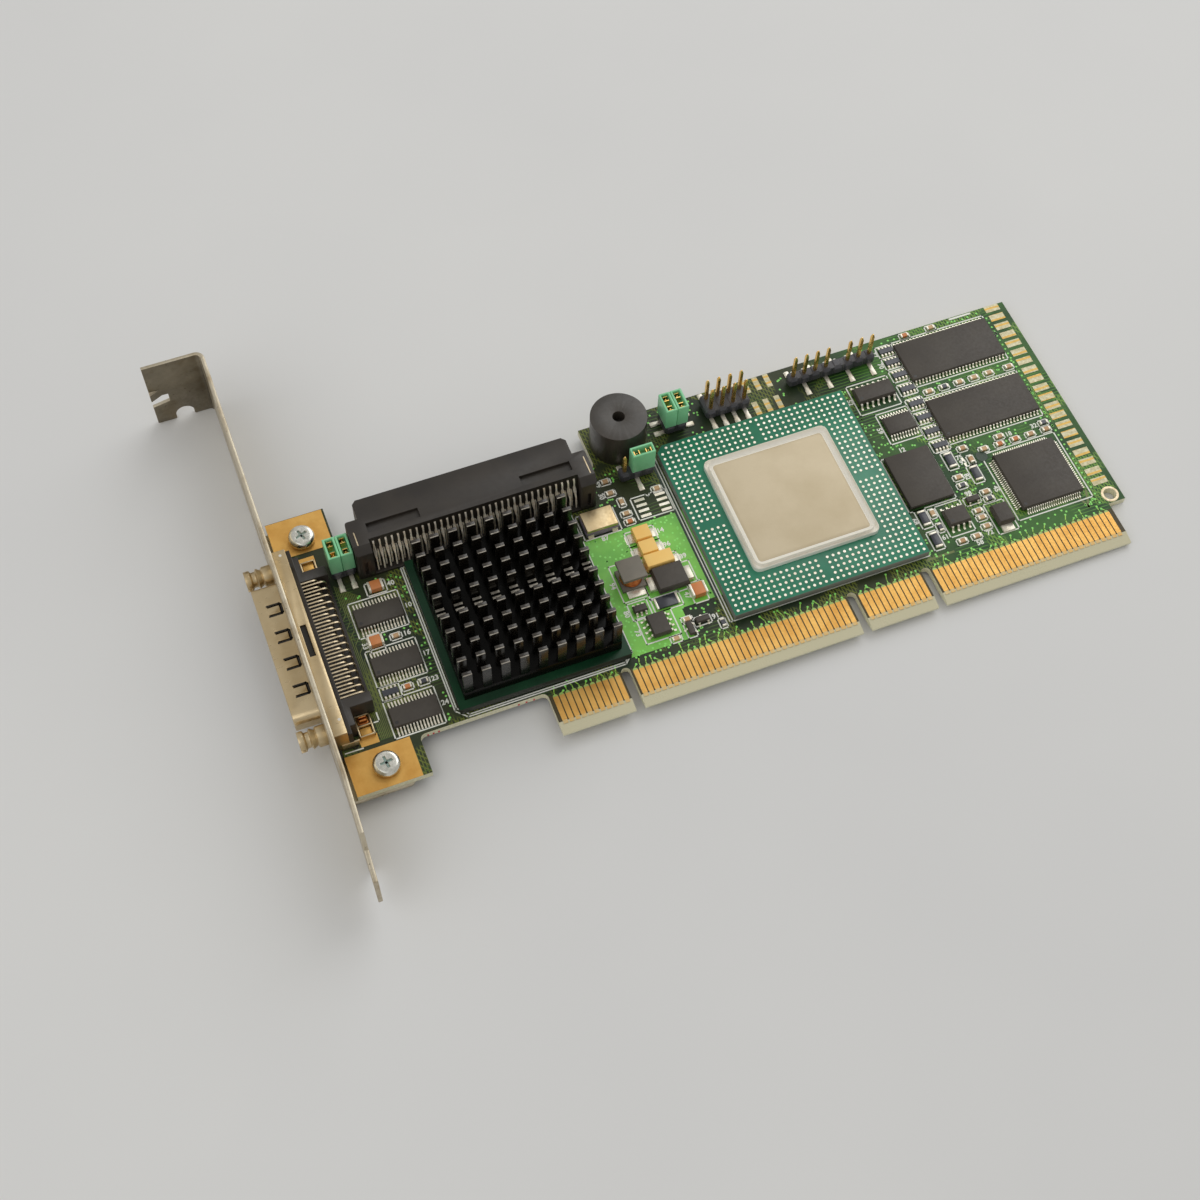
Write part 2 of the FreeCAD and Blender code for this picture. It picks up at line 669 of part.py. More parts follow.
def heatSink():
    """Extruded fins along X, sawn across into columns, with a low grooved fin for the clip."""
    x, y = controllerCentre
    back = y + sinkDepth / 2
    front = y - sinkDepth / 2
    left = x - sinkWidth / 2
    base = controllerTop + sinkBase
    body = block(x, y, sinkWidth, sinkDepth, controllerTop, base)
    fins = []
    for i in range(finCount):
        for y0 in (front + finPitch * i, back - finThickness - finPitch * i):
            fins.append(box(left, left + sinkWidth, y0, y0 + finThickness, base, sinkTop))
    middle = y + shortFinShift
    top = base + shortFinHeight
    grooveWidth, grooveDepth = shortFinGroove
    low = block(x, middle, sinkWidth, shortFinThickness, base, top)
    groove = block(x, middle, sinkWidth + 2, grooveWidth, top - grooveDepth, top + 1)
    body = body.fuse(fins + [low.cut(groove)])
    column = (sinkWidth - sinkSlot * (sinkColumnCount - 1)) / sinkColumnCount
    slots = []
    for i in range(sinkColumnCount - 1):
        x0 = left + column + (column + sinkSlot) * i
        slots.append(box(x0, x0 + sinkSlot, front - 1, back + 1, base, sinkTop + 1))
    return cut(body, slots).removeSplitter()


def processor():
    x0, y0 = processorCorner
    body = box(x0, x0 + processorSize, y0, y0 + processorSize, processorBottom, processorTop)
    corner = uprightEdges(body, lambda p: p.x < x0 + 1 and p.y > y0 + 1)
    return body.makeChamfer(processorChamfer, corner)


def processorLid():
    """Formed metal lid: a thin brim and a raised middle with rounded corners."""
    x = processorCorner[0] + processorSize / 2
    y = processorCorner[1] + processorSize / 2
    brim = block(x, y, lidSize, lidSize, processorTop, processorTop + lidSkirt)
    brim = brim.makeChamfer(lidBrimChamfer, uprightEdges(brim, lambda p: True))
    inner = lidSize - 2 * lidStep
    rise = block(x, y, inner, inner, processorTop + lidSkirt, processorTop + lidTop)
    rise = rise.makeFillet(lidRadius - lidStep, uprightEdges(rise, lambda p: True))
    return brim.fuse(rise)


def moulding(x, y, sizeX, sizeY, z0, z1, draft=bodyDraft):
    """A moulded package: sloping sides above and below a narrow upright band, which the leads leave."""
    middle = (z0 + z1) / 2
    half = leadThickness / 2
    wires = []
    for z, shrink in ((z0, draft), (middle - half, 0), (middle + half, 0), (z1, draft)):
        halfX = sizeX / 2 - shrink
        halfY = sizeY / 2 - shrink
        corners = ((-halfX, -halfY), (halfX, -halfY), (halfX, halfY), (-halfX, halfY))
        points = [vec(x + px, y + py, z) for px, py in corners]
        wires.append(Part.makePolygon(points + [points[0]]))
    return Part.makeLoft(wires, True, True)


def leadRow(count, pitch, width, rise, reach):
    """A row of leads at the origin that slope from a body, along -Y, down to feet on the board."""
    foot = leadFootShare * reach
    outline = [(0, rise), (-reach, 0), (foot - reach, 0)]
    leads = []
    for i in range(count):
        x = pitch * (i - (count - 1) / 2) - width / 2
        leads.append(prism([vec(x, y, z) for y, z in outline], vec(width, 0, 0)))
    return leads


def packagedChip(package, count, place, turned=False, fourSides=False):
    """Body and leads of one package. Its leads leave the long sides, or all four."""
    sizeX, sizeY, top, pitch, width, reach = package
    body = moulding(0, 0, sizeX, sizeY, bodyStandoff, top)
    rise = (bodyStandoff + top) / 2 + leadThickness / 2
    leads = []
    for angle in (0, 90, 180, 270) if fourSides else (0, 180):
        offset = sizeY / 2 if angle % 180 == 0 else sizeX / 2
        for lead in leadRow(count, pitch, width, rise, reach):
            lead.translate(vec(0, -offset, 0))
            lead.rotate(vec(0, 0, 0), vec(0, 0, 1), angle)
            leads.append(lead)
    for shape in [body] + leads:
        if turned:
            shape.rotate(vec(0, 0, 0), vec(0, 0, 1), 90)
        shape.translate(vec(*place, 0))
    return body, leads


def transistors():
    bodies = []
    leads = []
    sizeX, sizeY, top = transistorBody
    offset, width, reach = transistorLead
    height = (bodyStandoff + top + leadThickness) / 2
    for x, y, turn in transistorPlaces:
        body = moulding(x, y, sizeX, sizeY, bodyStandoff, top, transistorDraft)
        feet = []
        for dx, side in ((-offset, -1), (offset, -1), (0, 1)):
            middle = y + side * (sizeY + reach) / 2
            feet.append(block(x + dx, middle, width, reach, 0, height))
        for shape in [body] + feet:
            shape.rotate(vec(x, y, 0), vec(0, 0, 1), turn)
        bodies.append(body)
        leads += feet
    return bodies, leads


def oscillator():
    """Ceramic base with a welded metal lid."""
    x, y = oscillatorPlace
    sizeX, sizeY = oscillatorSize
    base = block(x, y, sizeX, sizeY, 0, oscillatorBase)
    lid = block(x, y, sizeX - 2 * oscillatorRim, sizeY - 2 * oscillatorRim, oscillatorBase, oscillatorTop)
    return base, lid


def inductor():
    """Drum core with its winding between two square plates, and the front terminal."""
    x, y = inductorPlace
    low = block(x, y, inductorSize, inductorSize, 0, inductorPlate)
    high = block(x, y, inductorSize, inductorSize, inductorHeight - inductorPlate, inductorHeight)
    hub = block(x, y, coilHub, coilHub, inductorPlate, inductorHeight - inductorPlate)
    winding = Part.makeCylinder(coilRadius, inductorHeight - 2 * inductorPlate, vec(x, y, inductorPlate))
    sizeX, sizeY, thick = terminalSize
    terminal = box(x - sizeX / 2, x + sizeX / 2, terminalFront, y - inductorSize / 2, 0, thick)
    return low.fuse([hub, high]), winding.cut(hub), terminal


def rectifier():
    x, y = rectifierPlace
    sizeX, sizeY, top = rectifierBody
    reach, width = rectifierLead
    body = moulding(x, y, sizeX, sizeY, bodyStandoff, top, rectifierDraft)
    leads = []
    for side in (-1, 1):
        middle = x + side * (sizeX + reach - footTuck) / 2
        lead = block(middle, y, reach + footTuck, width, 0, rectifierLeadHeight)
        leads.append(lead.cut(body))
    return body, leads


def yellowBodies():
    """Moulded capacitors with metal feet folded under their ends."""
    bodies = []
    feet = []
    reach, share = yellowFoot
    for x, y, sizeX, sizeY, top in yellowCapacitors:
        body = moulding(x, y, sizeX, sizeY, bodyStandoff, top, yellowDraft)
        bodies.append(body)
        for side in (-1, 1):
            middle = x + side * (sizeX + reach - footTuck) / 2
            foot = block(middle, y, reach + footTuck, sizeY * share, 0, yellowFootHeight)
            feet.append(foot.cut(body))
    return bodies, feet


def cappedPart(x, y, sizeX, sizeY, top, alongY=False):
    """A chip component: its body and the plated caps on its two ends."""
    length = sizeY if alongY else sizeX
    half = length / 2
    caps = []
    for side in (-1, 1):
        middle = side * (half - endCap / 2)
        if alongY:
            caps.append(block(x, y + middle, sizeX, endCap, 0, top))
        else:
            caps.append(block(x + middle, y, endCap, sizeY, 0, top))
    inner = length - 2 * endCap
    if alongY:
        body = block(x, y, sizeX, inner, 0, top)
    else:
        body = block(x, y, inner, sizeY, 0, top)
    return body, caps


def resistorArrays():
    sizeX, sizeY, top = arraySize
    return [block(x, y, sizeX, sizeY, 0, top) for x, y in arrayPlaces]


def smallParts():
    length, width, top = smallSize
    pieces = [block(x, y, length, width, 0, top) for x, y in smallAlongX]
    pieces += [block(x, y, width, length, 0, top) for x, y in smallAlongY]
    return pieces


def buzzer():
    x, y = buzzerPlace
    body = Part.makeCylinder(buzzerRadius, buzzerHeight, vec(x, y, 0))
    hole = Part.makeCylinder(buzzerHoleRadius, buzzerHoleDepth + 1, vec(x, y, buzzerHeight - buzzerHoleDepth))
    return body.cut(hole)


def pin(x, y, z0, z1):
    """A square header pin."""
    return block(x, y, pinWidth, pinWidth, z0, z1)


def header(x, y, columns, rows, top, legs, missing=None):
    """Base, pins and feet of a surface-mount header. Legs are (column, row, direction) places."""
    along = pinPitch * (columns - 1)
    across = pinPitch * (rows - 1)
    z0 = headerLegThickness
    z1 = z0 + headerHeight
    base = block(x + along / 2, y + across / 2, along + pinPitch, across + pinPitch, z0, z1)
    metal = []
    for i in range(columns):
        for j in range(rows):
            if i != missing:
                metal.append(pin(x + pinPitch * i, y + pinPitch * j, z1, top))
    for i, j, dx, dy in legs:
        px = x + pinPitch * i
        py = y + pinPitch * j
        reach = headerFrontLegReach if dy < 0 else headerLegReach
        sizeX, sizeY = (reach, headerLegWidth) if dx else (headerLegWidth, reach)
        metal.append(block(px + dx * sizeX / 2, py + dy * sizeY / 2, sizeX, sizeY, 0, headerLegThickness))
    return base, metal


def jumperCap(x, y, alongX):
    """A jumper cap: an open-topped sleeve over two pins."""
    z0 = headerHeight + headerLegThickness
    sizeX, sizeY = (capLength, capWidth) if alongX else (capWidth, capLength)
    width, length, depth = capWindow
    windowX, windowY = (length, width) if alongX else (width, length)
    sleeve = block(x, y, sizeX, sizeY, z0, capTop)
    window = block(x, y, windowX, windowY, capTop - depth, capTop + 1)
    holes = []
    for side in (-1, 1):
        dx, dy = (side * pinPitch / 2, 0) if alongX else (0, side * pinPitch / 2)
        hole = pinWidth + 2 * capPinClearance
        holes.append(block(x + dx, y + dy, hole, hole, z0 - 1, capTop))
    return cut(sleeve, [window] + holes)


def headers():
    bases = []
    metal = []
    doubleLegs = [(i, j, 0, 2 * j - 1) for i in range(doubleHeaderColumnCount) for j in (0, 1)]
    longLegs = [(i, 0, 0, -1 if i % 2 else 1) for i in range(longHeaderPinCount)]
    testLegs = [(i, 0, 0, -1) for i in (0, 1)]
    fanLegs = [(i, j, 2 * i - 1, 0) for i in (0, 1) for j in (0, 1)]
    plans = [
        (doubleHeaderPlace, doubleHeaderColumnCount, 2, pinTop, doubleLegs, None),
        (longHeaderPlace, longHeaderPinCount, 1, pinTop, longLegs, longHeaderMissing),
        (testHeaderPlace, 2, 2, capPinTop, testLegs, None),
        (fanHeaderPlace, 2, 2, capPinTop, fanLegs, None),
    ]
    for (x, y), columns, rows, top, legs, missing in plans:
        base, pieces = header(x, y, columns, rows, top, legs, missing)
        bases.append(base)
        metal += pieces
    x, y = shortHeaderPlace
    shortLegs = [(1, 0, 0, -1), (0, 0, 0, 1), (2, 0, 0, 1)]
    base, pieces = header(x, y, shortHeaderPinCount, 1, capPinTop, shortLegs)
    bases.append(base)
    metal += pieces
    return bases, metal


def main():
    os.makedirs("parts", exist_ok=True)
    save("board", [board()])
    save("edge_contacts", edgeContacts())
    save("ground_pads", groundPads())
    save("test_pads", testPads())
    save("spare_header_pads", sparePads())
    save("bracket", [bracket()])
    save("bracket_screws", bracketScrews())
    save("external_connector_shell", [portShell()])
    save("external_connector_body", [portBody()])
    save("external_connector_leads", portLeads())
    save("external_connector_board_locks", boardLocks())
    save("jack_posts", jackPosts())
    save("internal_connector_body", [innerBody()])
    save("internal_connector_leads", innerLeads())
    save("controller_substrate", [controller()])
    save("heat_sink", [heatSink()])
    save("processor_substrate", [processor()])
    save("processor_lid", [processorLid()])
    chipLeads = []
    for i, place in enumerate(terminatorPlaces):
        body, leads = packagedChip(terminatorPackage, terminatorLeadCount, place)
        save("terminator_chip_%d" % (i + 1), [body])
        chipLeads += leads
    save("terminator_chip_leads", chipLeads)
    chipLeads = []
    for i, place in enumerate(memoryPlaces):
        body, leads = packagedChip(memoryPackage, memoryLeadCount, place)
        save("memory_chip_%d" % (i + 1), [body])
        chipLeads += leads
    save("memory_chip_leads", chipLeads)
    body, leads = packagedChip(logicPackage, logicLeadCount, logicPlace, fourSides=True)
    save("logic_chip", [body])
    save("logic_chip_leads", leads)
    x, y = flashPlace
    sizeX, sizeY, low, top = flashSize
    save("flash_chip", [moulding(x, y, sizeX, sizeY, low, top, flashDraft)])
    save("package_solder_balls", solderBalls())
    smallLeads = []
    plans = [
        ("driver_chip", fourteenPinPackage, fourteenPinLeadCount, fourteenPinPlace, False),
        ("buffer_chip", twentyPinPackage, twentyPinLeadCount, twentyPinPlace, False),
        ("settings_memory_chip", eightPinPackage, eightPinLeadCount, eepromPlace, False),
        ("regulator_chip", eightPinPackage, eightPinLeadCount, regulatorPlace, True),
        ("switch_chip", sixPinPackage, sixPinLeadCount, switchPlace, False),
    ]
    for name, package, count, place, turned in plans:
        body, leads = packagedChip(package, count, place, turned)
        save(name, [body])
        smallLeads += leads
    bodies, leads = transistors()
    save("transistors", bodies)
    save("small_chip_leads", smallLeads + leads)
    base, lid = oscillator()
    save("oscillator_base", [base])
    save("oscillator_lid", [lid])
    core, winding, terminal = inductor()
    save("inductor_core", [core])
    save("inductor_winding", [winding])
    body, leads = rectifier()
    save("rectifier_body", [body])
    yellow, feet = yellowBodies()
    save("yellow_capacitors", yellow)
    x, y, sizeX, sizeY, top = darkDiode
    footX, footY, footTop = darkDiodeFoot
    diode = moulding(x, y, sizeX, sizeY, bodyStandoff, top, darkDiodeDraft)
    save("protection_diode", [diode])
    low = y - sizeY / 2
    diodeFoot = box(x - footX / 2, x + footX / 2, low - footY, low + footTuck, 0, footTop)
    save("power_part_terminals", [terminal, diodeFoot.cut(diode)] + leads + feet)
    capacitors = []
    caps = []
    for x, y, sizeX, sizeY, top in largeCapacitors:
        body, ends = cappedPart(x, y, sizeX, sizeY, top)
        capacitors.append(body)
        caps += ends
    resistors = []
    sizeX, sizeY, top = tallResistorSize
    for x, y in tallResistors:
        body, ends = cappedPart(x, y, sizeX, sizeY, top, alongY=True)
        resistors.append(body)
        caps += ends
    body, ends = cappedPart(*senseResistor)
    save("ceramic_capacitors", capacitors)
    save("chip_resistors", resistors + [body])
    save("component_end_caps", caps + ends)
    save("resistor_arrays", resistorArrays())
    save("small_chip_components", smallParts())
    save("buzzer", [buzzer()])
    bases, metal = headers()
    save("header_bases", bases)
    save("header_pins", metal)
    half = pinPitch / 2
    x, y = testHeaderPlace
    save("jumper_cap_1", [jumperCap(x, y + half, False)])
    save("jumper_cap_2", [jumperCap(x + pinPitch, y + half, False)])
    x, y = fanHeaderPlace
    save("jumper_cap_3", [jumperCap(x, y + half, False)])
    save("jumper_cap_4", [jumperCap(x + pinPitch, y + half, False)])
    x, y = shortHeaderPlace
    save("jumper_cap_5", [jumperCap(x + pinPitch * 1.5, y, True)])


main()
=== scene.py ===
import json
import math
import random
import bpy
from mathutils import Matrix, Vector


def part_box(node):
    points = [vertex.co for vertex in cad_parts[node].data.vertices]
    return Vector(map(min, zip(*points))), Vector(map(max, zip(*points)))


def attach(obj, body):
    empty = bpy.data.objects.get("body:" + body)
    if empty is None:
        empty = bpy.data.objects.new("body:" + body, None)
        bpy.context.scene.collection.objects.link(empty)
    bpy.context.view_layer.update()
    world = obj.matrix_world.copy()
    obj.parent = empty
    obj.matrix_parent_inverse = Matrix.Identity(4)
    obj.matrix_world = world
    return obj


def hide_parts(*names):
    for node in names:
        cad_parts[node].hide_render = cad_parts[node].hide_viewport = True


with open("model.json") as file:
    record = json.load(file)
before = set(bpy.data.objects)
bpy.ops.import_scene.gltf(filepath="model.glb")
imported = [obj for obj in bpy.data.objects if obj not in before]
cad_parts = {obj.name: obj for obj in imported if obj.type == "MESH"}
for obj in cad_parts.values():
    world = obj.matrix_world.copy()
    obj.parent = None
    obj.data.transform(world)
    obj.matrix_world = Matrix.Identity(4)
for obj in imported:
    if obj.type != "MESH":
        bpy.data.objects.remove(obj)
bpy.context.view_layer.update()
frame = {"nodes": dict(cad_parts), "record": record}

mm = 0.001
chance = random.Random(7)


def tone(red, green, blue):
    # a colour as it looks on a screen, 0 to 255, turned into shader values
    values = []
    for level in (red, green, blue):
        level /= 255
        values.append(level / 12.92 if level <= 0.04045 else ((level + 0.055) / 1.055) ** 2.4)
    return (*values, 1.0)


class Finish:
    # a small wrapper that keeps one material's nodes together
    def __init__(self, name):
        self.material = bpy.data.materials.new(name)
        self.material.use_nodes = True
        self.tree = self.material.node_tree
        self.shader = self.tree.nodes["Principled BSDF"]
        self.place = self.tree.nodes.new("ShaderNodeTexCoord").outputs["Object"]

    def feed(self, socket, value):
        # another node's output is linked, and a constant sits on the socket
        if isinstance(value, bpy.types.NodeSocket):
            self.tree.links.new(value, socket)
        else:
            socket.default_value = value

    def drive(self, name, value):
        self.feed(self.shader.inputs[name], value)

    def add(self, kind, output, inputs, **settings):
        node = self.tree.nodes.new("ShaderNode" + kind)
        for key, value in settings.items():
            setattr(node, key, value)
        for key, value in inputs.items():
            self.feed(node.inputs[key], value)
        return node.outputs[output]

    def noise(self, perMetre, detail=4.0, stretch=None, roughness=0.55):
        place = self.place
        if stretch:
            place = self.add("Mapping", "Vector", {"Vector": place, "Scale": stretch})
        inputs = {"Scale": perMetre, "Detail": detail, "Roughness": roughness, "Vector": place}
        return self.add("TexNoise", "Fac", inputs)

    def bands(self, perMetre, direction, distortion):
        inputs = {"Scale": perMetre, "Distortion": distortion, "Vector": self.place}
        return self.add("TexWave", "Fac", inputs, bands_direction=direction)

    def ramp(self, source, low, high, start=0.0, end=1.0):
        inputs = {"Value": source, "From Min": low, "From Max": high, "To Min": start, "To Max": end}
        return self.add("MapRange", "Result", inputs)

    def maths(self, operation, first, second=0.0):
        return self.add("Math", "Value", {0: first, 1: second}, operation=operation)

    def mix(self, factor, first, second):
        # between two colours, each a triple or another node's output
        first, second = (tone(*value) if isinstance(value, tuple) else value for value in (first, second))
        return self.add("Mix", 2, {0: factor, 6: first, 7: second}, data_type="RGBA")

    def axis(self, name):
        return self.add("SeparateXYZ", name, {"Vector": self.place})

    def facing(self, name):
        normal = self.tree.nodes.new("ShaderNodeNewGeometry").outputs["Normal"]
        return self.add("SeparateXYZ", name, {"Vector": normal})

    def rough(self, grain, low, high, start=0.3, end=0.7):
        self.drive("Roughness", self.ramp(grain, start, end, low, high))

    def bump(self, height, depth, strength=0.5):
        inputs = {"Strength": strength, "Distance": depth, "Height": height}
        self.drive("Normal", self.add("Bump", "Normal", inputs))


def plasticFinish(name, colour, second, rough=0.5, grain=900, bumpDepth=0.00002, coat=0.0):
    # moulded plastic or ceramic: slow colour drift, fine pits, roughness that varies a little
    finish = Finish(name)
    drift = finish.ramp(finish.noise(140, 3), 0.35, 0.65)
    finish.drive("Base Color", finish.mix(drift, colour, second))
    speck = finish.noise(grain, 6, roughness=0.7)
    finish.rough(speck, rough - 0.08, rough + 0.1)
    finish.bump(speck, bumpDepth, 0.6)
    finish.drive("Coat Weight", coat)
    finish.drive("Coat Roughness", 0.25)
    return finish.material


def metalFinish(name, colour, second, rough=0.3, cloud=160, scratch=None, bumpDepth=0.00001, metallic=1.0):
    # plated metal: cloudy plating, fine scratches along one way, duller patches
    finish = Finish(name)
    patch = finish.ramp(finish.noise(cloud, 5), 0.35, 0.68)
    finish.drive("Base Color", finish.mix(patch, colour, second))
    lines = finish.noise(2600, 3, stretch=scratch) if scratch else finish.noise(2200, 5)
    finish.drive("Roughness", finish.ramp(lines, 0.3, 0.75, rough - 0.07, rough + 0.16))
    finish.bump(lines, bumpDepth)
    finish.drive("Metallic", metallic)
    return finish.material


def boardFinish():
    # dark mask with copper areas and tracks showing through, bare laminate on the edges and the tongue's lip
    finish = Finish("solderMask")
    area = finish.ramp(finish.noise(48, 2), 0.44, 0.56)
    vivid = finish.ramp(finish.axis("X"), 0.078, 0.09)
    dull = finish.mix(area, (32, 48, 26), (50, 58, 30))
    base = finish.mix(vivid, dull, finish.mix(area, (34, 72, 30), (62, 108, 44)))
    fine = finish.maths("MAXIMUM", finish.ramp(finish.bands(520, "X", 1.2), 0.7, 0.82),
                        finish.ramp(finish.bands(480, "DIAGONAL", 0.8), 0.78, 0.88))
    tracks = finish.maths("MULTIPLY", fine, finish.ramp(finish.noise(85, 2), 0.53, 0.57))
    base = finish.mix(tracks, base, finish.mix(vivid, (108, 118, 46), (120, 160, 66)))
    flow = finish.ramp(finish.bands(420, "Y", 1.6), 0.8, 0.9)
    second = finish.maths("MULTIPLY", flow, finish.ramp(finish.noise(64, 2), 0.47, 0.43))
    base = finish.mix(second, base, finish.mix(vivid, (76, 104, 46), (88, 142, 54)))
    speckle = finish.ramp(finish.noise(1500, 3), 0.6, 0.75)
    base = finish.mix(finish.maths("MULTIPLY", speckle, 0.35), base, (84, 96, 58))
    onTongue = finish.maths("GREATER_THAN", finish.axis("X"), -0.5 * mm)
    for height, colour in ((8.4, (74, 66, 40)), (2.5, (206, 200, 168))):
        below = finish.maths("LESS_THAN", finish.axis("Y"), height * mm)
        base = finish.mix(finish.maths("MULTIPLY", below, onTongue), base, colour)
    edge = finish.maths("LESS_THAN", finish.maths("ABSOLUTE", finish.facing("Z")), 0.9)
    plies = finish.mix(finish.ramp(finish.bands(1500, "Z", 0.4), 0.2, 0.8), (204, 201, 170), (230, 226, 194))
    plies = finish.mix(finish.ramp(finish.noise(1700, 3), 0.5, 0.7, 0.0, 0.6), plies, (246, 243, 222))
    finish.drive("Base Color", finish.mix(edge, base, plies))
    speck = finish.noise(700, 4)
    finish.rough(speck, 0.4, 0.54)
    relief = finish.maths("ADD", finish.maths("ADD", tracks, second), finish.maths("MULTIPLY", speck, 0.3))
    finish.bump(relief, 0.00002)
    finish.drive("Specular IOR Level", 0.35)
    return finish.material


def substrateFinish(name, colour, second, coat=0.2, edge=118):
    # fine woven laminate under a smooth coloured mask
    finish = Finish(name)
    weave = finish.maths("MULTIPLY", finish.bands(900, "X", 0.6), finish.bands(900, "Y", 0.6))
    side = finish.maths("LESS_THAN", finish.maths("ABSOLUTE", finish.facing("Z")), 0.8)
    top = finish.mix(finish.ramp(finish.noise(120, 3), 0.4, 0.62), colour, second)
    finish.drive("Base Color", finish.mix(side, top, (edge, edge + 4, edge - 2)))
    finish.drive("Specular IOR Level", 0.2 + coat)
    finish.drive("Roughness", finish.ramp(weave, 0.0, 1.0, 0.36, 0.46))
    finish.bump(weave, 0.000008)
    finish.drive("Coat Weight", coat)
    finish.drive("Coat Roughness", 0.25)
    return finish.material


def lidFinish():
    # bead blasted plating with a faint cloud; the sides are painted near white, a painted highlight
    finish = Finish("blastedLid")
    cloud = finish.ramp(finish.noise(95, 4), 0.35, 0.68)
    # painted highlight: faces that do not face straight up get a near white colour instead of the plating tone
    side = finish.maths("LESS_THAN", finish.facing("Z"), 0.9)
    plate = finish.mix(cloud, (209, 194, 164), (198, 182, 150))
    finish.drive("Base Color", finish.mix(side, plate, (250, 247, 238)))
    grit = finish.noise(2600, 8, roughness=0.75)
    finish.rough(grit, 0.42, 0.62)
    finish.bump(grit, 0.00003, 0.7)
    finish.drive("Metallic", 0.25)
    return finish.material


def bracketFinish():
    # nickel plate gone tan, with dull stains, specks and rub marks along the sheet, and painted shade on the
    # inward face of the flange
    finish = Finish("wornNickel")
    stain = finish.ramp(finish.noise(170, 6, roughness=0.65), 0.46, 0.68)
    colour = finish.mix(stain, (206, 196, 174), (172, 156, 128))
    spots = finish.ramp(finish.noise(1400, 4), 0.66, 0.74)
    colour = finish.mix(spots, colour, (104, 84, 60))
    # painted shade: the flange's inward face, turned away from the light, is darkened in a mottle
    dark = finish.ramp(finish.noise(110, 3), 0.3, 0.75, 0.85, 0.5)
    inward = finish.maths("LESS_THAN", finish.facing("Y"), -0.5)
    flangeShadeMask = finish.maths("MULTIPLY", inward, finish.maths("GREATER_THAN", finish.axis("Y"), 0.09))
    colour = finish.mix(finish.maths("MULTIPLY", dark, flangeShadeMask), colour, (72, 62, 44))
    finish.drive("Base Color", colour)
    rub = finish.noise(1800, 4, stretch=(1.0, 0.08, 1.0))
    finish.rough(rub, 0.28, 0.52)
    finish.bump(rub, 0.00002)
    finish.drive("Metallic", 0.9)
    return finish.material


sinkSpec = {"base": 3.0, "pitch": 3.25, "fin": 0.9, "rows": 5, "columns": 9, "slot": 1.75, "narrow": 0.2,
            "tip": 11.9, "clipFin": 1.7, "clipHeight": 3.2, "groove": 0.5, "grooveDepth": 0.7,
            "shift": 0.6, "sawn": 0.26}


def sinkFinish():
    # black anodised aluminium, browner where the fins were sawn, less glossy and with painted shade that
    # darkens it lower down between the fins
    finish = Finish("blackAnodised")
    cloud = finish.ramp(finish.noise(260, 4), 0.35, 0.65)
    rise = finish.axis("Z")
    # painted shade: the colour darkens towards the foot of the fins, between them
    deep = finish.ramp(rise, 0.0055, 0.0105)
    base = finish.mix(deep, (9, 8, 6), finish.mix(cloud, (16, 14, 11), (28, 24, 18)))
    tip = finish.maths("GREATER_THAN", rise, sinkSpec["tip"] * mm)
    saw = finish.ramp(finish.noise(2400, 3, stretch=(1.0, 0.15, 1.0)), 0.3, 0.7)
    finish.drive("Base Color", finish.mix(tip, base, finish.mix(saw, (50, 42, 32), (34, 30, 24))))
    grain = finish.noise(1500, 5)
    finish.rough(grain, 0.2, 0.36)
    finish.bump(grain, 0.00001)
    finish.drive("Coat Weight", finish.maths("MULTIPLY", deep, 0.35))
    finish.drive("Specular IOR Level", finish.ramp(rise, 0.0055, 0.0105, 0.12, 0.5))
    finish.drive("Coat Roughness", 0.15)
    return finish.material


def padFinish():
    # tinned pads with a gold line where the test clip has rubbed
    finish = Finish("tinnedPads")
    cloud = finish.ramp(finish.noise(900, 4), 0.35, 0.65)
    base = finish.mix(cloud, (208, 202, 172), (186, 178, 138))
    rubbed = finish.ramp(finish.bands(190, "Y", 0.6), 0.7, 0.9)
    finish.drive("Base Color", finish.mix(rubbed, base, (214, 176, 92)))
    finish.rough(finish.noise(1800, 4), 0.4, 0.6)
    finish.bump(cloud, 0.00003)
    finish.drive("Metallic", 0.5)
    return finish.material


def maskFinish(name, colour, second):
    # solder mask over copper
    return plasticFinish(name, colour, second, 0.4, 500, 0.00001, 0.2)


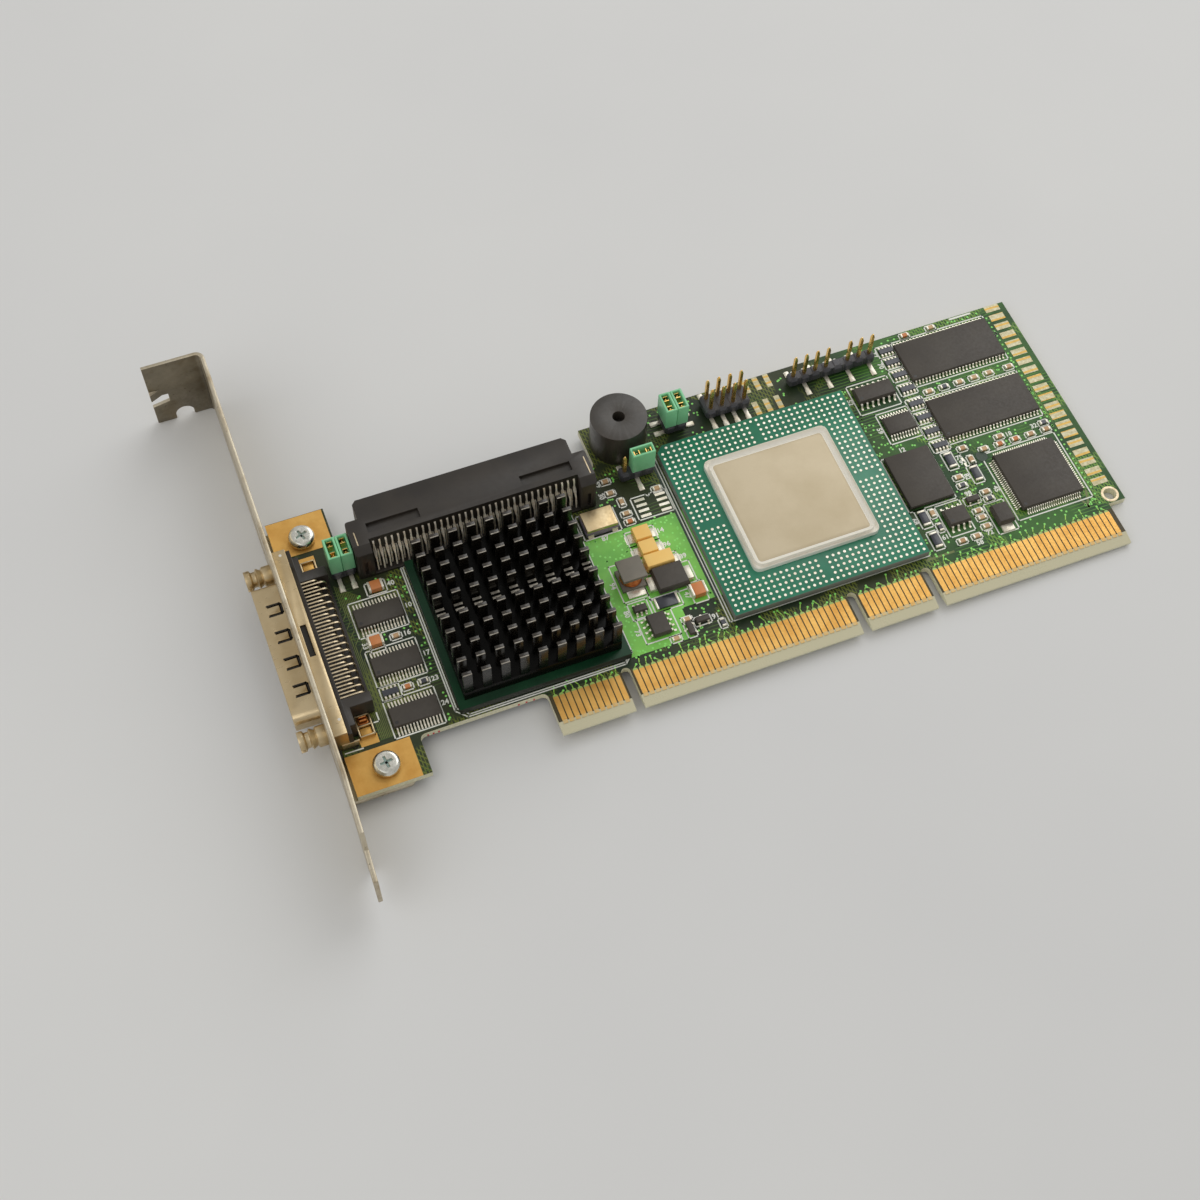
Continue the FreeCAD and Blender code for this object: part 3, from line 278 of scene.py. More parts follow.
finishes = {
    "board": boardFinish(),
    "gold": metalFinish("contactGold", (234, 186, 104), (214, 160, 80), 0.42, 210, metallic=0.8),
    "worn": metalFinish("wornGold", (226, 178, 96), (214, 198, 152), 0.5, 1100, metallic=0.2),
    "bracket": bracketFinish(),
    "screw": metalFinish("zincScrew", (238, 236, 226), (206, 206, 196), 0.22, 700),
    "shell": metalFinish("shellNickel", (216, 196, 158), (198, 176, 136), 0.34, 120, (0.2, 1.0, 1.0)),
    "connector": plasticFinish("connectorBlack", (52, 46, 39), (42, 37, 32), 0.42, 700, 0.00003),
    "tin": metalFinish("tinLead", (246, 241, 226), (226, 218, 196), 0.3, 500, metallic=0.5),
    "warmTin": metalFinish("warmTinLead", (216, 200, 170), (186, 168, 136), 0.34, 900),
    # contact tin made near white and less metallic, a painted highlight on the drive contacts
    "highlightTin": metalFinish("contactTinPaintedHighlight", (255, 248, 232), (240, 222, 192), 0.3, 1200, metallic=0.3),
    "copper": metalFinish("boardLockCopper", (230, 158, 94), (190, 118, 62), 0.34, 400),
    # the controller's mask: its own dark green made darker still, painted shade beside the heat sink
    "controller": substrateFinish("controllerMaskPaintedShade", (6, 48, 26), (12, 62, 34), 0.0, 44),
    "processor": substrateFinish("processorMask", (40, 122, 92), (48, 134, 102)),
    "sink": sinkFinish(),
    "sawn": metalFinish("sawnEdge", (172, 166, 154), (126, 120, 108), 0.3, 900, metallic=0.6),
    "lid": lidFinish(),
    # the lid's brim and the shell's dimples: plating painted near white and barely metallic, a painted
    # highlight
    "brim": metalFinish("lidBrimPaintedHighlight", (255, 252, 244), (244, 240, 228), 0.36, 200, None, 0.00002, 0.1),
    "pad": padFinish(),
    "teal": plasticFinish("threadLock", (158, 190, 184), (196, 208, 200), 0.5, 1800),
    "chip": plasticFinish("mouldingCompound", (67, 61, 54), (75, 69, 61), 0.56, 1600, 0.00003),
    "solder": metalFinish("solderGrey", (196, 194, 186), (160, 158, 150), 0.3, 600),
    "ceramic": plasticFinish("greyCeramic", (146, 130, 152), (126, 118, 126), 0.5, 1200),
    "goldLid": metalFinish("goldLid", (224, 204, 164), (206, 182, 138), 0.36, 300),
    "ferrite": plasticFinish("ferriteGrey", (112, 107, 96), (126, 119, 106), 0.55, 1300, 0.00004),
    "coil": metalFinish("enamelledCopper", (226, 142, 84), (180, 92, 44), 0.28, 600),
    "yellow": plasticFinish("yellowCase", (255, 212, 122), (252, 200, 106), 0.5, 900),
    "brown": plasticFinish("brownCeramic", (218, 142, 84), (204, 124, 66), 0.45, 1100),
    "resistor": plasticFinish("resistorGlaze", (46, 48, 56), (60, 62, 72), 0.34, 1000, 0.00001, 0.4),
    "tanPart": plasticFinish("tanCeramic", (214, 180, 136), (190, 150, 106), 0.5, 1200),
    "buzzer": plasticFinish("buzzerBlack", (64, 58, 50), (52, 48, 42), 0.4, 1200, 0.00003, 0.25),
    "header": plasticFinish("headerGrey", (60, 60, 64), (76, 76, 80), 0.4, 900, 0.00003),
    "pin": metalFinish("pinGold", (250, 212, 132), (230, 184, 100), 0.22, 500),
    "mint": plasticFinish("mintPlastic", (130, 208, 154), (142, 216, 164), 0.4, 700, 0.00002, 0.2),
    "silk": plasticFinish("screenInk", (250, 250, 242), (234, 236, 224), 0.6, 2500, 0.00001),
    "pour": maskFinish("brightMask", (132, 212, 78), (110, 194, 66)),
    "track": maskFinish("trackMask", (168, 222, 84), (140, 200, 70)),
    "cap": maskFinish("capMask", (176, 206, 110), (150, 190, 92)),
    "via": maskFinish("viaMask", (134, 226, 96), (146, 236, 108)),
    "oliveTrack": maskFinish("oliveMask", (112, 124, 50), (94, 106, 42)),
    "darkMask": maskFinish("deepMask", (12, 46, 20), (18, 56, 26)),
    "dot": plasticFinish("mouldMark", (44, 42, 40), (52, 50, 47), 0.4, 800),
    "shade": plasticFinish("deepSlot", (40, 36, 28), (28, 26, 22), 0.6, 900),
    "redInk": plasticFinish("redInk", (216, 72, 74), (200, 60, 64), 0.6, 900),
}
print("finishes:", len(finishes))


def metres(place):
    return [value * mm for value in place]


def middleOf(low, high):
    return [(a + b) / 2 for a, b in zip(low, high)]


def longAxis(low, high):
    # 0 where a box is longer along X than along Y, else 1
    return 0 if high[0] - low[0] > high[1] - low[1] else 1


def deselect():
    bpy.ops.object.select_all(action="DESELECT")


def pick(piece):
    deselect()
    piece.select_set(True)
    bpy.context.view_layer.objects.active = piece


def mode(name):
    bpy.ops.object.mode_set(mode=name)


def settle(piece):
    # puts an object's place into its mesh
    pick(piece)
    bpy.ops.object.transform_apply(location=True, rotation=True, scale=True)
    return piece


def primitive(add, name, place, **settings):
    # a new mesh primitive, its place in millimetres
    deselect()
    add(location=metres(place), **settings)
    piece = bpy.context.active_object
    piece.name = name
    return piece


def addBox(name, low, high):
    # a cube at its size and place, in millimetres
    piece = primitive(bpy.ops.mesh.primitive_cube_add, name, middleOf(low, high), size=1.0)
    piece.scale = metres(b - a for a, b in zip(low, high))
    return settle(piece)


def addRound(name, x, y, z0, z1, radius, sides=32):
    return settle(primitive(bpy.ops.mesh.primitive_cylinder_add, name, (x, y, (z0 + z1) / 2), vertices=sides,
                            radius=radius * mm, depth=(z1 - z0) * mm))


def addTube(name, place, length, radius):
    # a cylinder along X
    return settle(primitive(bpy.ops.mesh.primitive_cylinder_add, name, place, vertices=40, radius=radius * mm,
                            depth=length * mm, rotation=(0, math.radians(90), 0)))


def addRing(name, place, radius, wire, around=24, across=8, flat=1.0):
    ring = primitive(bpy.ops.mesh.primitive_torus_add, name, place, major_radius=radius * mm,
                     minor_radius=wire * mm, major_segments=around, minor_segments=across)
    ring.scale = (1, 1, flat)
    return settle(ring)


def applied(piece, kind, **settings):
    # one modifier with its settings, applied at once
    pick(piece)
    change = piece.modifiers.new("change", kind)
    for key, value in settings.items():
        setattr(change, key, value)
    bpy.ops.object.modifier_apply(modifier="change")
    return piece


def bevelled(piece, width, segments=2, angle=35, hard=False):
    # rounds the edges; hard keeps the flat faces shading flat
    pick(piece)
    if hard:
        bpy.ops.object.shade_smooth()
    return applied(piece, "BEVEL", width=width * mm, segments=segments, limit_method="ANGLE",
                   angle_limit=math.radians(angle), use_clamp_overlap=True, harden_normals=hard)


def bevelledBox(name, low, high, width, segments=2):
    return bevelled(addBox(name, low, high), width, segments)


def block(name, x, y, halfX, halfY, z0, z1, width=0.0, segments=2):
    # a box about a middle, its edges rounded where a width is given
    piece = addBox(name, (x - halfX, y - halfY, z0), (x + halfX, y + halfY, z1))
    return bevelled(piece, width, segments) if width else piece


def spread(middle, count, pitch):
    # evenly spaced places about a middle
    return [middle + pitch * (i - (count - 1) / 2) for i in range(count)]


def twin(model):
    piece = model.copy()
    piece.data = model.data.copy()
    bpy.context.collection.objects.link(piece)
    return piece


def laid(piece, x=0.0, y=0.0, z=0.0, turn=0.0):
    # turns a mesh about Z and moves it, in degrees and millimetres
    piece.data.transform(Matrix.Translation(metres((x, y, z))) @ Matrix.Rotation(math.radians(turn), 4, "Z"))
    return piece


def copyOf(model, *place):
    return laid(twin(model), *place)


def rowOf(model, count, pitch, x, y, turn=0.0):
    # a row of copies made by an array, centred on its place
    row = applied(twin(model), "ARRAY", count=count, use_relative_offset=False, use_constant_offset=True,
                  constant_offset_displace=(pitch * mm, 0, 0))
    laid(row, -pitch * (count - 1) / 2)
    return laid(row, x, y, 0, turn)


def remove(*pieces):
    for piece in pieces:
        bpy.data.objects.remove(piece)


def joined(name, parts):
    deselect()
    for part in parts:
        part.select_set(True)
    bpy.context.view_layer.objects.active = parts[0]
    if len(parts) > 1:
        bpy.ops.object.join()
    piece = bpy.context.active_object
    piece.name = name
    return piece


def finishPiece(piece, finish, slot, *nodes):
    # gives a piece its finish, makes it ride and lets it stand for CAD nodes
    piece.data.materials.clear()
    piece.data.materials.append(finishes[finish])
    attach(piece, "root")
    if nodes:
        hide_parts(*nodes)
    return piece


def assembled(name, parts, finish, slot, *nodes, smooth=None):
    # parts joined into one finished piece, shaded smooth up to an angle
    piece = joined(name, parts)
    if smooth:
        pick(piece)
        bpy.ops.object.shade_smooth_by_angle(angle=math.radians(smooth))
    return finishPiece(piece, finish, slot, *nodes)


def uprightBevel(piece, width, segments=1):
    # rounds or chamfers the edges that stand along Z
    pick(piece)
    points = piece.data.vertices
    for edge in piece.data.edges:
        a, b = (points[i].co for i in edge.vertices)
        edge.select = abs(a.z - b.z) > 0.00005 and math.hypot(a.x - b.x, a.y - b.y) < 0.00001
    mode("EDIT")
    bpy.ops.mesh.select_mode(type="EDGE")
    bpy.ops.mesh.bevel(offset=width * mm, segments=segments)
    mode("OBJECT")
    return piece


def mergedCopy(node):
    # a new object with a CAD node's mesh, its loose triangles merged, ready for edit mode
    piece = bpy.data.objects.new(node + "_copy", frame["nodes"][node].data.copy())
    bpy.context.collection.objects.link(piece)
    pick(piece)
    mode("EDIT")
    bpy.ops.mesh.select_all(action="SELECT")
    bpy.ops.mesh.remove_doubles(threshold=0.000002)
    mode("OBJECT")
    return piece


def softened(node, finish, slot, width=0.12, segments=2):
    # a copy of a CAD node with its edges rounded
    piece = mergedCopy(node)
    piece.name = node + "_dressed"
    mode("EDIT")
    bpy.ops.mesh.tris_convert_to_quads(face_threshold=math.radians(1), shape_threshold=math.radians(179))
    mode("OBJECT")
    return finishPiece(bevelled(piece, width, segments, hard=True), finish, slot, node)


def solidBoxes(node):
    # the corners of each separate solid in a CAD node, in millimetres
    mergedCopy(node)
    mode("EDIT")
    bpy.ops.mesh.separate(type="LOOSE")
    mode("OBJECT")
    boxes = []
    for part in list(bpy.context.selected_objects):
        corners = list(part.bound_box)
        low = [min(c[i] for c in corners) / mm for i in range(3)]
        high = [max(c[i] for c in corners) / mm for i in range(3)]
        boxes.append((low, high))
        remove(part)
    return sorted(boxes)


def nodeBox(node):
    low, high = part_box(node)
    return [v / mm for v in low], [v / mm for v in high]


def dressNode(node, finish):
    for slot in frame["nodes"][node].material_slots:
        slot.material = finishes[finish]


def strokes(name, lines, width, finish, slot, z0=0.0, height=0.015):
    # flat printed lines, each a thin bar between two points, with a width of its own as a fifth value
    model = addBox(name + "_model", (-0.5, -0.5, 0), (0.5, 0.5, 1))
    parts = []
    for x0, y0, x1, y1, *own in lines:
        wide = own[0] if own else width
        bar = twin(model)
        bar.data.transform(Matrix.Diagonal((math.hypot(x1 - x0, y1 - y0) + wide, wide, height, 1.0)))
        turn = math.degrees(math.atan2(y1 - y0, x1 - x0))
        parts.append(laid(bar, (x0 + x1) / 2, (y0 + y1) / 2, z0, turn))
    remove(model)
    return assembled(name, parts, finish, slot)


def dots(name, places, radius, finish, slot, z0=0.0, height=0.02, sides=8):
    model = addRound(name + "_model", 0, 0, 0, height, radius, sides)
    parts = [copyOf(model, x, y, z0) for x, y in places]
    remove(model)
    return assembled(name, parts, finish, slot)


def rectangle(x0, y0, x1, y1):
    return [(x0, y0, x1, y0), (x1, y0, x1, y1), (x1, y1, x0, y1), (x0, y1, x0, y0)]


def chained(points):
    # the lines from each point to the next
    return [(*a, *b) for a, b in zip(points, points[1:])]


def ribbon(name, path, widths, thick, turns=None):
    # a strip along a bent path in the YZ plane: an edge extruded and turned in steps, then made solid
    strip = primitive(bpy.ops.mesh.primitive_plane_add, name, (0, *path[0]), size=1.0)
    strip.scale = (widths[0] * mm, 0.02 * mm, 1)
    settle(strip)
    mode("EDIT")
    bpy.ops.mesh.select_mode(type="VERT")
    bpy.ops.mesh.select_all(action="DESELECT")
    mode("OBJECT")
    for vertex in strip.data.vertices:
        vertex.select = vertex.co.y < path[0][0] * mm
    mode("EDIT")
    turns = turns or [0] * len(path)
    for (y0, z0), (y1, z1), w0, w1, turn in zip(path, path[1:], widths, widths[1:], turns[1:]):
        centre = metres((0, y1, z1))
        bpy.ops.mesh.extrude_region_move(TRANSFORM_OT_translate={"value": metres((0, y1 - y0, z1 - z0))})
        bpy.ops.transform.resize(value=(w1 / w0, w1 / w0, 1), center_override=centre)
        if turn:
            bpy.ops.transform.rotate(value=math.radians(turn), orient_axis="Z", center_override=centre)
    mode("OBJECT")
    applied(strip, "SOLIDIFY", thickness=thick * mm, offset=0)
    mode("EDIT")
    bpy.ops.mesh.select_all(action="SELECT")
    bpy.ops.mesh.normals_make_consistent(inside=False)
    mode("OBJECT")
    return strip


leadSpec = {"thickness": 0.16, "bend": 0.28, "slope": 0.28, "root": 0.08}


def gullLead(name, width, rise, reach):
    # one formed lead: out of the body, down and along the board, extruded step by step
    spec = leadSpec
    lead = addBox(name, (-width / 2, -spec["root"], rise - spec["thickness"]), (width / 2, 0.05, rise))
    pick(lead)
    mode("EDIT")
    bpy.ops.mesh.select_all(action="DESELECT")
    mode("OBJECT")
    for face in lead.data.polygons:
        face.select = face.normal.y < -0.9
    mode("EDIT")
    bpy.ops.mesh.select_mode(type="FACE")
    steps = [(spec["root"] - reach * spec["bend"], 0), (-reach * spec["slope"], spec["thickness"] - rise),
             (-reach * (1 - spec["bend"] - spec["slope"]), 0)]
    for along, down in steps:
        bpy.ops.mesh.extrude_region_move(TRANSFORM_OT_translate={"value": metres((0, along, down))})
    bpy.ops.mesh.select_all(action="SELECT")
    bpy.ops.mesh.normals_make_consistent(inside=False)
    mode("OBJECT")
    return lead


def leadsAround(chip, sides, count, pitch, width, reach):
    # rows of formed leads on two or four sides of a package
    low, high = nodeBox(chip)
    x, y, z = middleOf(low, high)
    model = gullLead(chip + "_lead_model", width, z + leadSpec["thickness"] / 2, reach)
    parts = []
    for turn in sides:
        angle = math.radians(turn)
        deep = (high[1] - low[1]) / 2 if turn % 180 == 0 else (high[0] - low[0]) / 2
        parts.append(rowOf(model, count, pitch, x + math.sin(angle) * deep, y - math.cos(angle) * deep, turn))
    remove(model)
    return parts


terminators = ("terminator_chip_1", "terminator_chip_2", "terminator_chip_3")
memories = ("memory_chip_1", "memory_chip_2")
endSides = (0, 180)
leadRows = {  # sides in degrees, leads on each, pitch, width and reach
    "terminator": (terminators, endSides, 14, 0.65, 0.28, 1.2),
    "memory": (memories, endSides, 27, 0.8, 0.36, 0.8),
    "logic": (("logic_chip",), (0, 90, 180, 270), 25, 0.5, 0.24, 1.0),
}
smallRows = {
    "driver_chip": (endSides, 7, 1.27, 0.42, 1.1),
    "buffer_chip": (endSides, 10, 0.65, 0.3, 1.2),
    "settings_memory_chip": (endSides, 4, 1.27, 0.42, 1.1),
    "regulator_chip": ((90, 270), 4, 1.27, 0.42, 1.1),
    "switch_chip": (endSides, 3, 0.95, 0.4, 0.6),
}


def packages():
    for family, (chips, *row) in leadRows.items():
        leads = [lead for chip in chips for lead in leadsAround(chip, *row)]
        assembled(family + "_leads_formed", leads, "tin", "lead_tin", family + "_chip_leads", smooth=40)
    leads = [lead for chip, row in smallRows.items() for lead in leadsAround(chip, *row)]
    for low, high in solidBoxes("transistors"):
        x, y, z = middleOf(low, high)
        model = gullLead("transistor_model", 0.4, 0.7, 0.6)
        if longAxis(low, high) == 0:
            places = ((x - 0.95, low[1], 0), (x + 0.95, low[1], 0), (x, high[1], 180))
        else:
            places = ((high[0], y - 0.95, 90), (high[0], y + 0.95, 90), (low[0], y, 270))
        leads += [copyOf(model, px, py, 0, turn) for px, py, turn in places]
        remove(model)
    assembled("small_leads_formed", leads, "tin", "lead_tin", "small_chip_leads", smooth=40)
    names = (*terminators, *memories, "logic_chip", "flash_chip", *smallRows, "transistors", "rectifier_body",
             "protection_diode")
    for name in names:
        softened(name, "chip", "chip_black", 0.06, 1)
    model = addRound("moulding_mark_model", 0, 0, -0.01, 0.012, 0.35, 16)
    marks = []
    for node in (*terminators, *memories, "logic_chip", "driver_chip", "settings_memory_chip"):
        low, high = nodeBox(node)
        marks.append(copyOf(model, low[0] + 0.9, low[1] + 0.9, high[2]))
    assembled("moulding_marks", marks, "dot", "chip_black")
    remove(model)
    print("packages:", len(names))


chipPartSpec = {"cap": 0.34, "kinds": ("tanPart", "tanPart", "brown", "resistor")}


def smallParts():
    # chip components: a body between two plated ends, in tan, brown or dark ceramic
    bodies = {"tanPart": [], "brown": [], "resistor": []}
    ends, cap = [], chipPartSpec["cap"]
    for low, high in solidBoxes("small_chip_components"):
        kind = chance.choice(chipPartSpec["kinds"])
        along = longAxis(low, high)
        inner = [list(low), list(high)]
        inner[0][along] += cap
        inner[1][along] -= cap
        inner[1][2] -= 0.05
        bodies[kind].append(bevelledBox("chip_body", *inner, 0.03, 1))
        for side in (0, 1):
            end = [list(low), list(high)]
            end[1 - side][along] = low[along] + cap if side == 0 else high[along] - cap
            ends.append(bevelledBox("chip_end", *end, 0.06))
    for kind, parts in bodies.items():
        assembled("small_parts_" + kind, parts, kind, "small_part_grey")
    assembled("small_part_ends", ends, "tin", "small_part_grey", "small_chip_components")
    print("small parts:", len(ends) // 2)


arraySpec = {"terminals": 4, "pitch": 0.8, "half": 0.62, "foot": (0.22, 0.375), "footMiddle": 0.825,
             "footTop": 0.36, "pad": (1.35, 0.45)}


def arrayRow(x):
    # the places of a resistor array's terminals along X
    return spread(x, arraySpec["terminals"], arraySpec["pitch"])


def resistorArrays():
    spec = arraySpec
    parts, ends = [], []
    for low, high in solidBoxes("resistor_arrays"):
        x, y, z = middleOf(low, high)
        body = (low[0], y - spec["half"], 0.02), (high[0], y + spec["half"], high[2])
        parts.append(bevelledBox("array_body", *body, 0.05))
        for px in arrayRow(x):
            for py in (y - spec["footMiddle"], y + spec["footMiddle"]):
                ends.append(block("array_end", px, py, *spec["foot"], 0, spec["footTop"], 0.06, 1))
    assembled("resistor_array_bodies", parts, "resistor", "resistor_dark", "resistor_arrays")
    assembled("resistor_array_ends", ends, "tin", "lead_tin")


lockSpec = {"wall": 0.35, "frame": 0.9, "prong": (0.82, 0.24), "apart": 0.36, "plate": (1.1, 0.75),
            "pad": (1.1, 0.9)}


def boardLocks(middle):
    # a tin frame with a cross rail, a copper split pin in its inner half and a gold pad in the outer one
    spec, wall = lockSpec, lockSpec["wall"]
    frames, pins, pads = [], [], []
    for (x0, y0, bottom), (x1, y1, crown) in solidBoxes("external_connector_board_locks"):
        x, y, top = (x0 + x1) / 2, (y0 + y1) / 2, bottom + spec["frame"]
        bars = ((x0, y0, x1, y0 + wall), (x0, y1 - wall, x1, y1), (x0, y0, x0 + wall, y1),
                (x1 - wall, y0, x1, y1), (x0, y - wall / 2, x1, y + wall / 2))
        frames += [bevelledBox("lock_bar", (a, b, bottom), (c, d, top), 0.12) for a, b, c, d in bars]
        quarter = (y1 - y0) / 4 if y0 > middle else (y0 - y1) / 4
        inner, outer = y - quarter, y + quarter
        for prong in (inner - spec["apart"], inner + spec["apart"]):
            pins.append(block("lock_prong", x, prong, *spec["prong"], bottom, crown, 0.22, 3))
        pins.append(block("lock_plate", x, inner, *spec["plate"], bottom, bottom + 0.4, 0.15))
        pads.append(block("lock_pad", x, outer, *spec["pad"], bottom, bottom + 0.3, 0.1))
    assembled("lock_frames", frames, "shell", "shell_plating", "external_connector_board_locks", smooth=40)
    assembled("lock_pins", pins, "copper", "lock_copper", smooth=40)
    assembled("lock_pads", pads, "gold", "lock_copper", smooth=40)


externalSpec = {"leads": 34, "pitch": 0.8, "width": 0.3, "thickness": 0.22, "top": 4.9, "ends": (-32.8, -34.15),
                "bend": ((1.25, 0), (0.7, 0.07), (0.3, 0.3), (0.08, 0.7), (0, 1.3)), "slot": (0.575, 3.55),
                "slotBack": 1.42, "slotDepth": 0.6, "tabs": 4, "tabPitch": 6.1, "tabWidth": 2.4,
                "tabLength": 2.7, "tabEnd": -42.455, "tabRound": 0.3, "cutWidth": 0.34, "cutHeight": 5.5,
                "dimples": ((-39.6, 52.6), (-39.1, 14.6)), "holeX": -38.2, "holes": (17.5, 49.8),
                "footX": -40.1, "ringX": -37.6}


def portLeads():
    # each lead runs flat to the right, bends down in a soft curve and stands on the board
    spec = externalSpec
    low, high = nodeBox("external_connector_leads")
    middle = (low[1] + high[1]) / 2
    models = []
    for end in spec["ends"]:
        bend = [(along - end, spec["top"] - drop) for along, drop in spec["bend"]]
        path = [(0.2 - low[0], spec["top"]), *bend, (-end, 0.5)]
        models.append(ribbon("port_lead_model", path, [spec["width"]] * len(path), spec["thickness"]))
    places = spread(middle, spec["leads"], spec["pitch"])
    parts = [copyOf(models[i % 2], 0, y, 0, 90) for i, y in enumerate(places)]
    remove(*models)
    assembled("port_leads_formed", parts, "warmTin", "lead_tin", "external_connector_leads", smooth=40)


def shellCuts(y, top):
    # the wide rounded cuts round the spring tabs of the hood, its dimples and its two small holes
    spec = externalSpec
    cuts, end, bend = [], spec["tabEnd"], spec["tabRound"]
    far = end - spec["tabLength"]
    for side in spread(y, spec["tabs"], spec["tabPitch"]):
        y0, y1 = side - spec["tabWidth"] / 2, side + spec["tabWidth"] / 2
        corners = [(far, y0), (end - bend, y0), (end, y0 + bend), (end, y1 - bend), (end - bend, y1), (far, y1)]
        cuts += chained(corners)
    strokes("tab_cuts", cuts, spec["cutWidth"], "shade", "shell_plating", spec["cutHeight"], 0.012)
    # the dimples are near white dots in the brim's finish, a painted highlight
    dots("shell_dimples", spec["dimples"], 0.3, "brim", "shell_plating", top, 0.012, 16)
    holes = [(spec["holeX"], hole - 0.2, spec["holeX"], hole + 0.2) for hole in spec["holes"]]
    strokes("shell_holes", holes, 0.5, "shade", "shell_plating", top - 0.001, 0.012)


def externalConnector():
    spec = externalSpec
    softened("external_connector_shell", "shell", "shell_plating", 0.1)
    softened("external_connector_body", "connector", "connector_black")
    boardLocks(middleOf(*nodeBox("external_connector_body"))[1])
    portLeads()
    low, high = nodeBox("external_connector_shell")
    y, z = (low[1] + high[1]) / 2, high[2] - spec["slotDepth"]
    floor = block("shell_slot_floor", high[0] - spec["slotBack"], y, *spec["slot"], z - 0.05, z + 0.2)
    finishPiece(floor, "shade", "shell_plating")
    shellCuts(y, high[2])
    # gold pads of the board beside the locks, and the bent foot of the shell with its hole
    (x0, y0), (x1, y1) = (corner[:2] for corner in nodeBox("external_connector_board_locks"))
    pads = [addBox("lock_board_pad", (x0 - 0.2, y0 - 1.6, 0), (x1 + 0.2, y0 + 0.4, 0.05)),
            addBox("lock_board_pad", (x0 - 0.2, y1 - 0.3, 0), (x1 + 0.1, y1 + 1.3, 0.05))]
    assembled("lock_board_pads", pads, "gold", "gold")
    foot = bevelledBox("shell_foot", (spec["footX"], low[1] - 0.15, 0), (x0 - 0.2, low[1] + 0.25, 2.0), 0.12)
    finishPiece(foot, "shell", "shell_plating")
    finishPiece(addRing("foot_ring", (spec["ringX"], low[1] - 0.1, 0.05), 0.5, 0.14), "shade", "shell_plating")
    print("external connector")


postSpec = {"radius": 2.05, "neck": 1.55, "bore": 0.9, "boreShare": 0.8, "slot": 0.7, "slotDepth": 0.8,
            "cuts": (0.2, 0.26, 0.40, 0.46, 0.62, 0.68), "necks": ((0.23, 0.43), (0.6, 0.64))}


def jackPosts():
    # turned posts with two necks, a bore for the thumbscrew and a driver slot
    spec = postSpec
    parts = []
    for low, high in solidBoxes("jack_posts"):
        x, y, z = middleOf(low, high)
        length = high[0] - low[0]
        post = addTube("post", (x, y, z), length, spec["radius"])
        mode("EDIT")
        for share in spec["cuts"]:
            bpy.ops.mesh.select_all(action="SELECT")
            bpy.ops.mesh.bisect(plane_co=metres((low[0] + length * share, y, z)), plane_no=(1, 0, 0))
        mode("OBJECT")
        centre = Vector(metres((0, y, z)))
        for vertex in post.data.vertices:
            along = (vertex.co.x / mm - low[0]) / length
            if any(start < along < end for start, end in spec["necks"]):
                narrow = (vertex.co - centre) * spec["neck"] / spec["radius"] + centre
                vertex.co.y, vertex.co.z = narrow.y, narrow.z
        front, deep, half = low[0], length * spec["boreShare"], spec["slot"] / 2
        bore = addTube("post_bore", (front + deep / 2, y, z), deep, spec["bore"])
        corners = (front - 0.5, y - 3, z - half), (front + spec["slotDepth"], y + 3, z + half)
        slot = addBox("post_slot", *corners)
        for tool in (bore, slot):
            applied(post, "BOOLEAN", operation="DIFFERENCE", object=tool)
        remove(bore, slot)
        parts.append(bevelled(post, 0.12, 2, 50))
    assembled("jack_posts_turned", parts, "shell", "shell_plating", "jack_posts", smooth=40)


screwSpec = {"radius": 2.7, "height": 1.9, "dome": 0.95, "shank": 1.45, "recess": 2.5, "slot": 0.5,
             "deep": 0.6, "turns": (8, 22)}


def bracketScrews():
    # pan heads with a domed edge and a cross recess, which keeps a trace of thread lock
    spec = screwSpec
    reach, half = spec["recess"] / 2, spec["slot"] / 2
    parts, traces = [], []
    for low, high in solidBoxes("bracket_screws"):
        x, y, z = middleOf(low, high)
        top = high[2]
        head = addRound("screw_head", x, y, top - spec["height"], top, spec["radius"], 64)
        bevelled(head, spec["dome"], 8, 60)
        first, floor = spec["turns"][1 if y > 30 else 0], top - spec["deep"]
        for turn in (first, first + 90):
            bar = laid(addBox("cross_bar", (-reach, -half, 0), (reach, half, 2)), x, y, floor, turn)
            applied(head, "BOOLEAN", operation="DIFFERENCE", object=bar)
            remove(bar)
            trace = addBox("lock_trace", (-reach, -half, 0), (reach, half, 0.15))
            traces.append(laid(trace, x, y, floor - 0.02, turn))
        shank = addRound("shank", x, y, low[2], top - spec["height"] + 0.1, spec["shank"])
        parts += [bevelled(head, 0.06, 1, 50), bevelled(shank, 0.2)]
    assembled("bracket_screws_turned", parts, "screw", "screw_plating", "bracket_screws", smooth=35)
    assembled("thread_lock_traces", traces, "teal", "screw_plating")


innerSpec = {"contacts": 34, "pitch": 1.27, "thickness": 0.2, "lowerWidth": 0.32,
             "widths": (0.38, 0.38, 0.34, 0.3, 0.68, 0.74, 0.4, 0.28, 0.28),
             "turns": (0, 0, 0, 20, 34, -8, -40, -6, 0),
             "upper": ((0.4, 8.75), (-0.1, 8.7), (-0.35, 8.2), (-0.45, 7.1), (-0.6, 6.4), (-0.85, 5.7),
                       (-1.2, 4.9)),
             "lower": ((0.3, 5.4), (-0.4, 5.35), (-0.6, 4.7), (-0.75, 3.4), (-0.9, 0.62))}


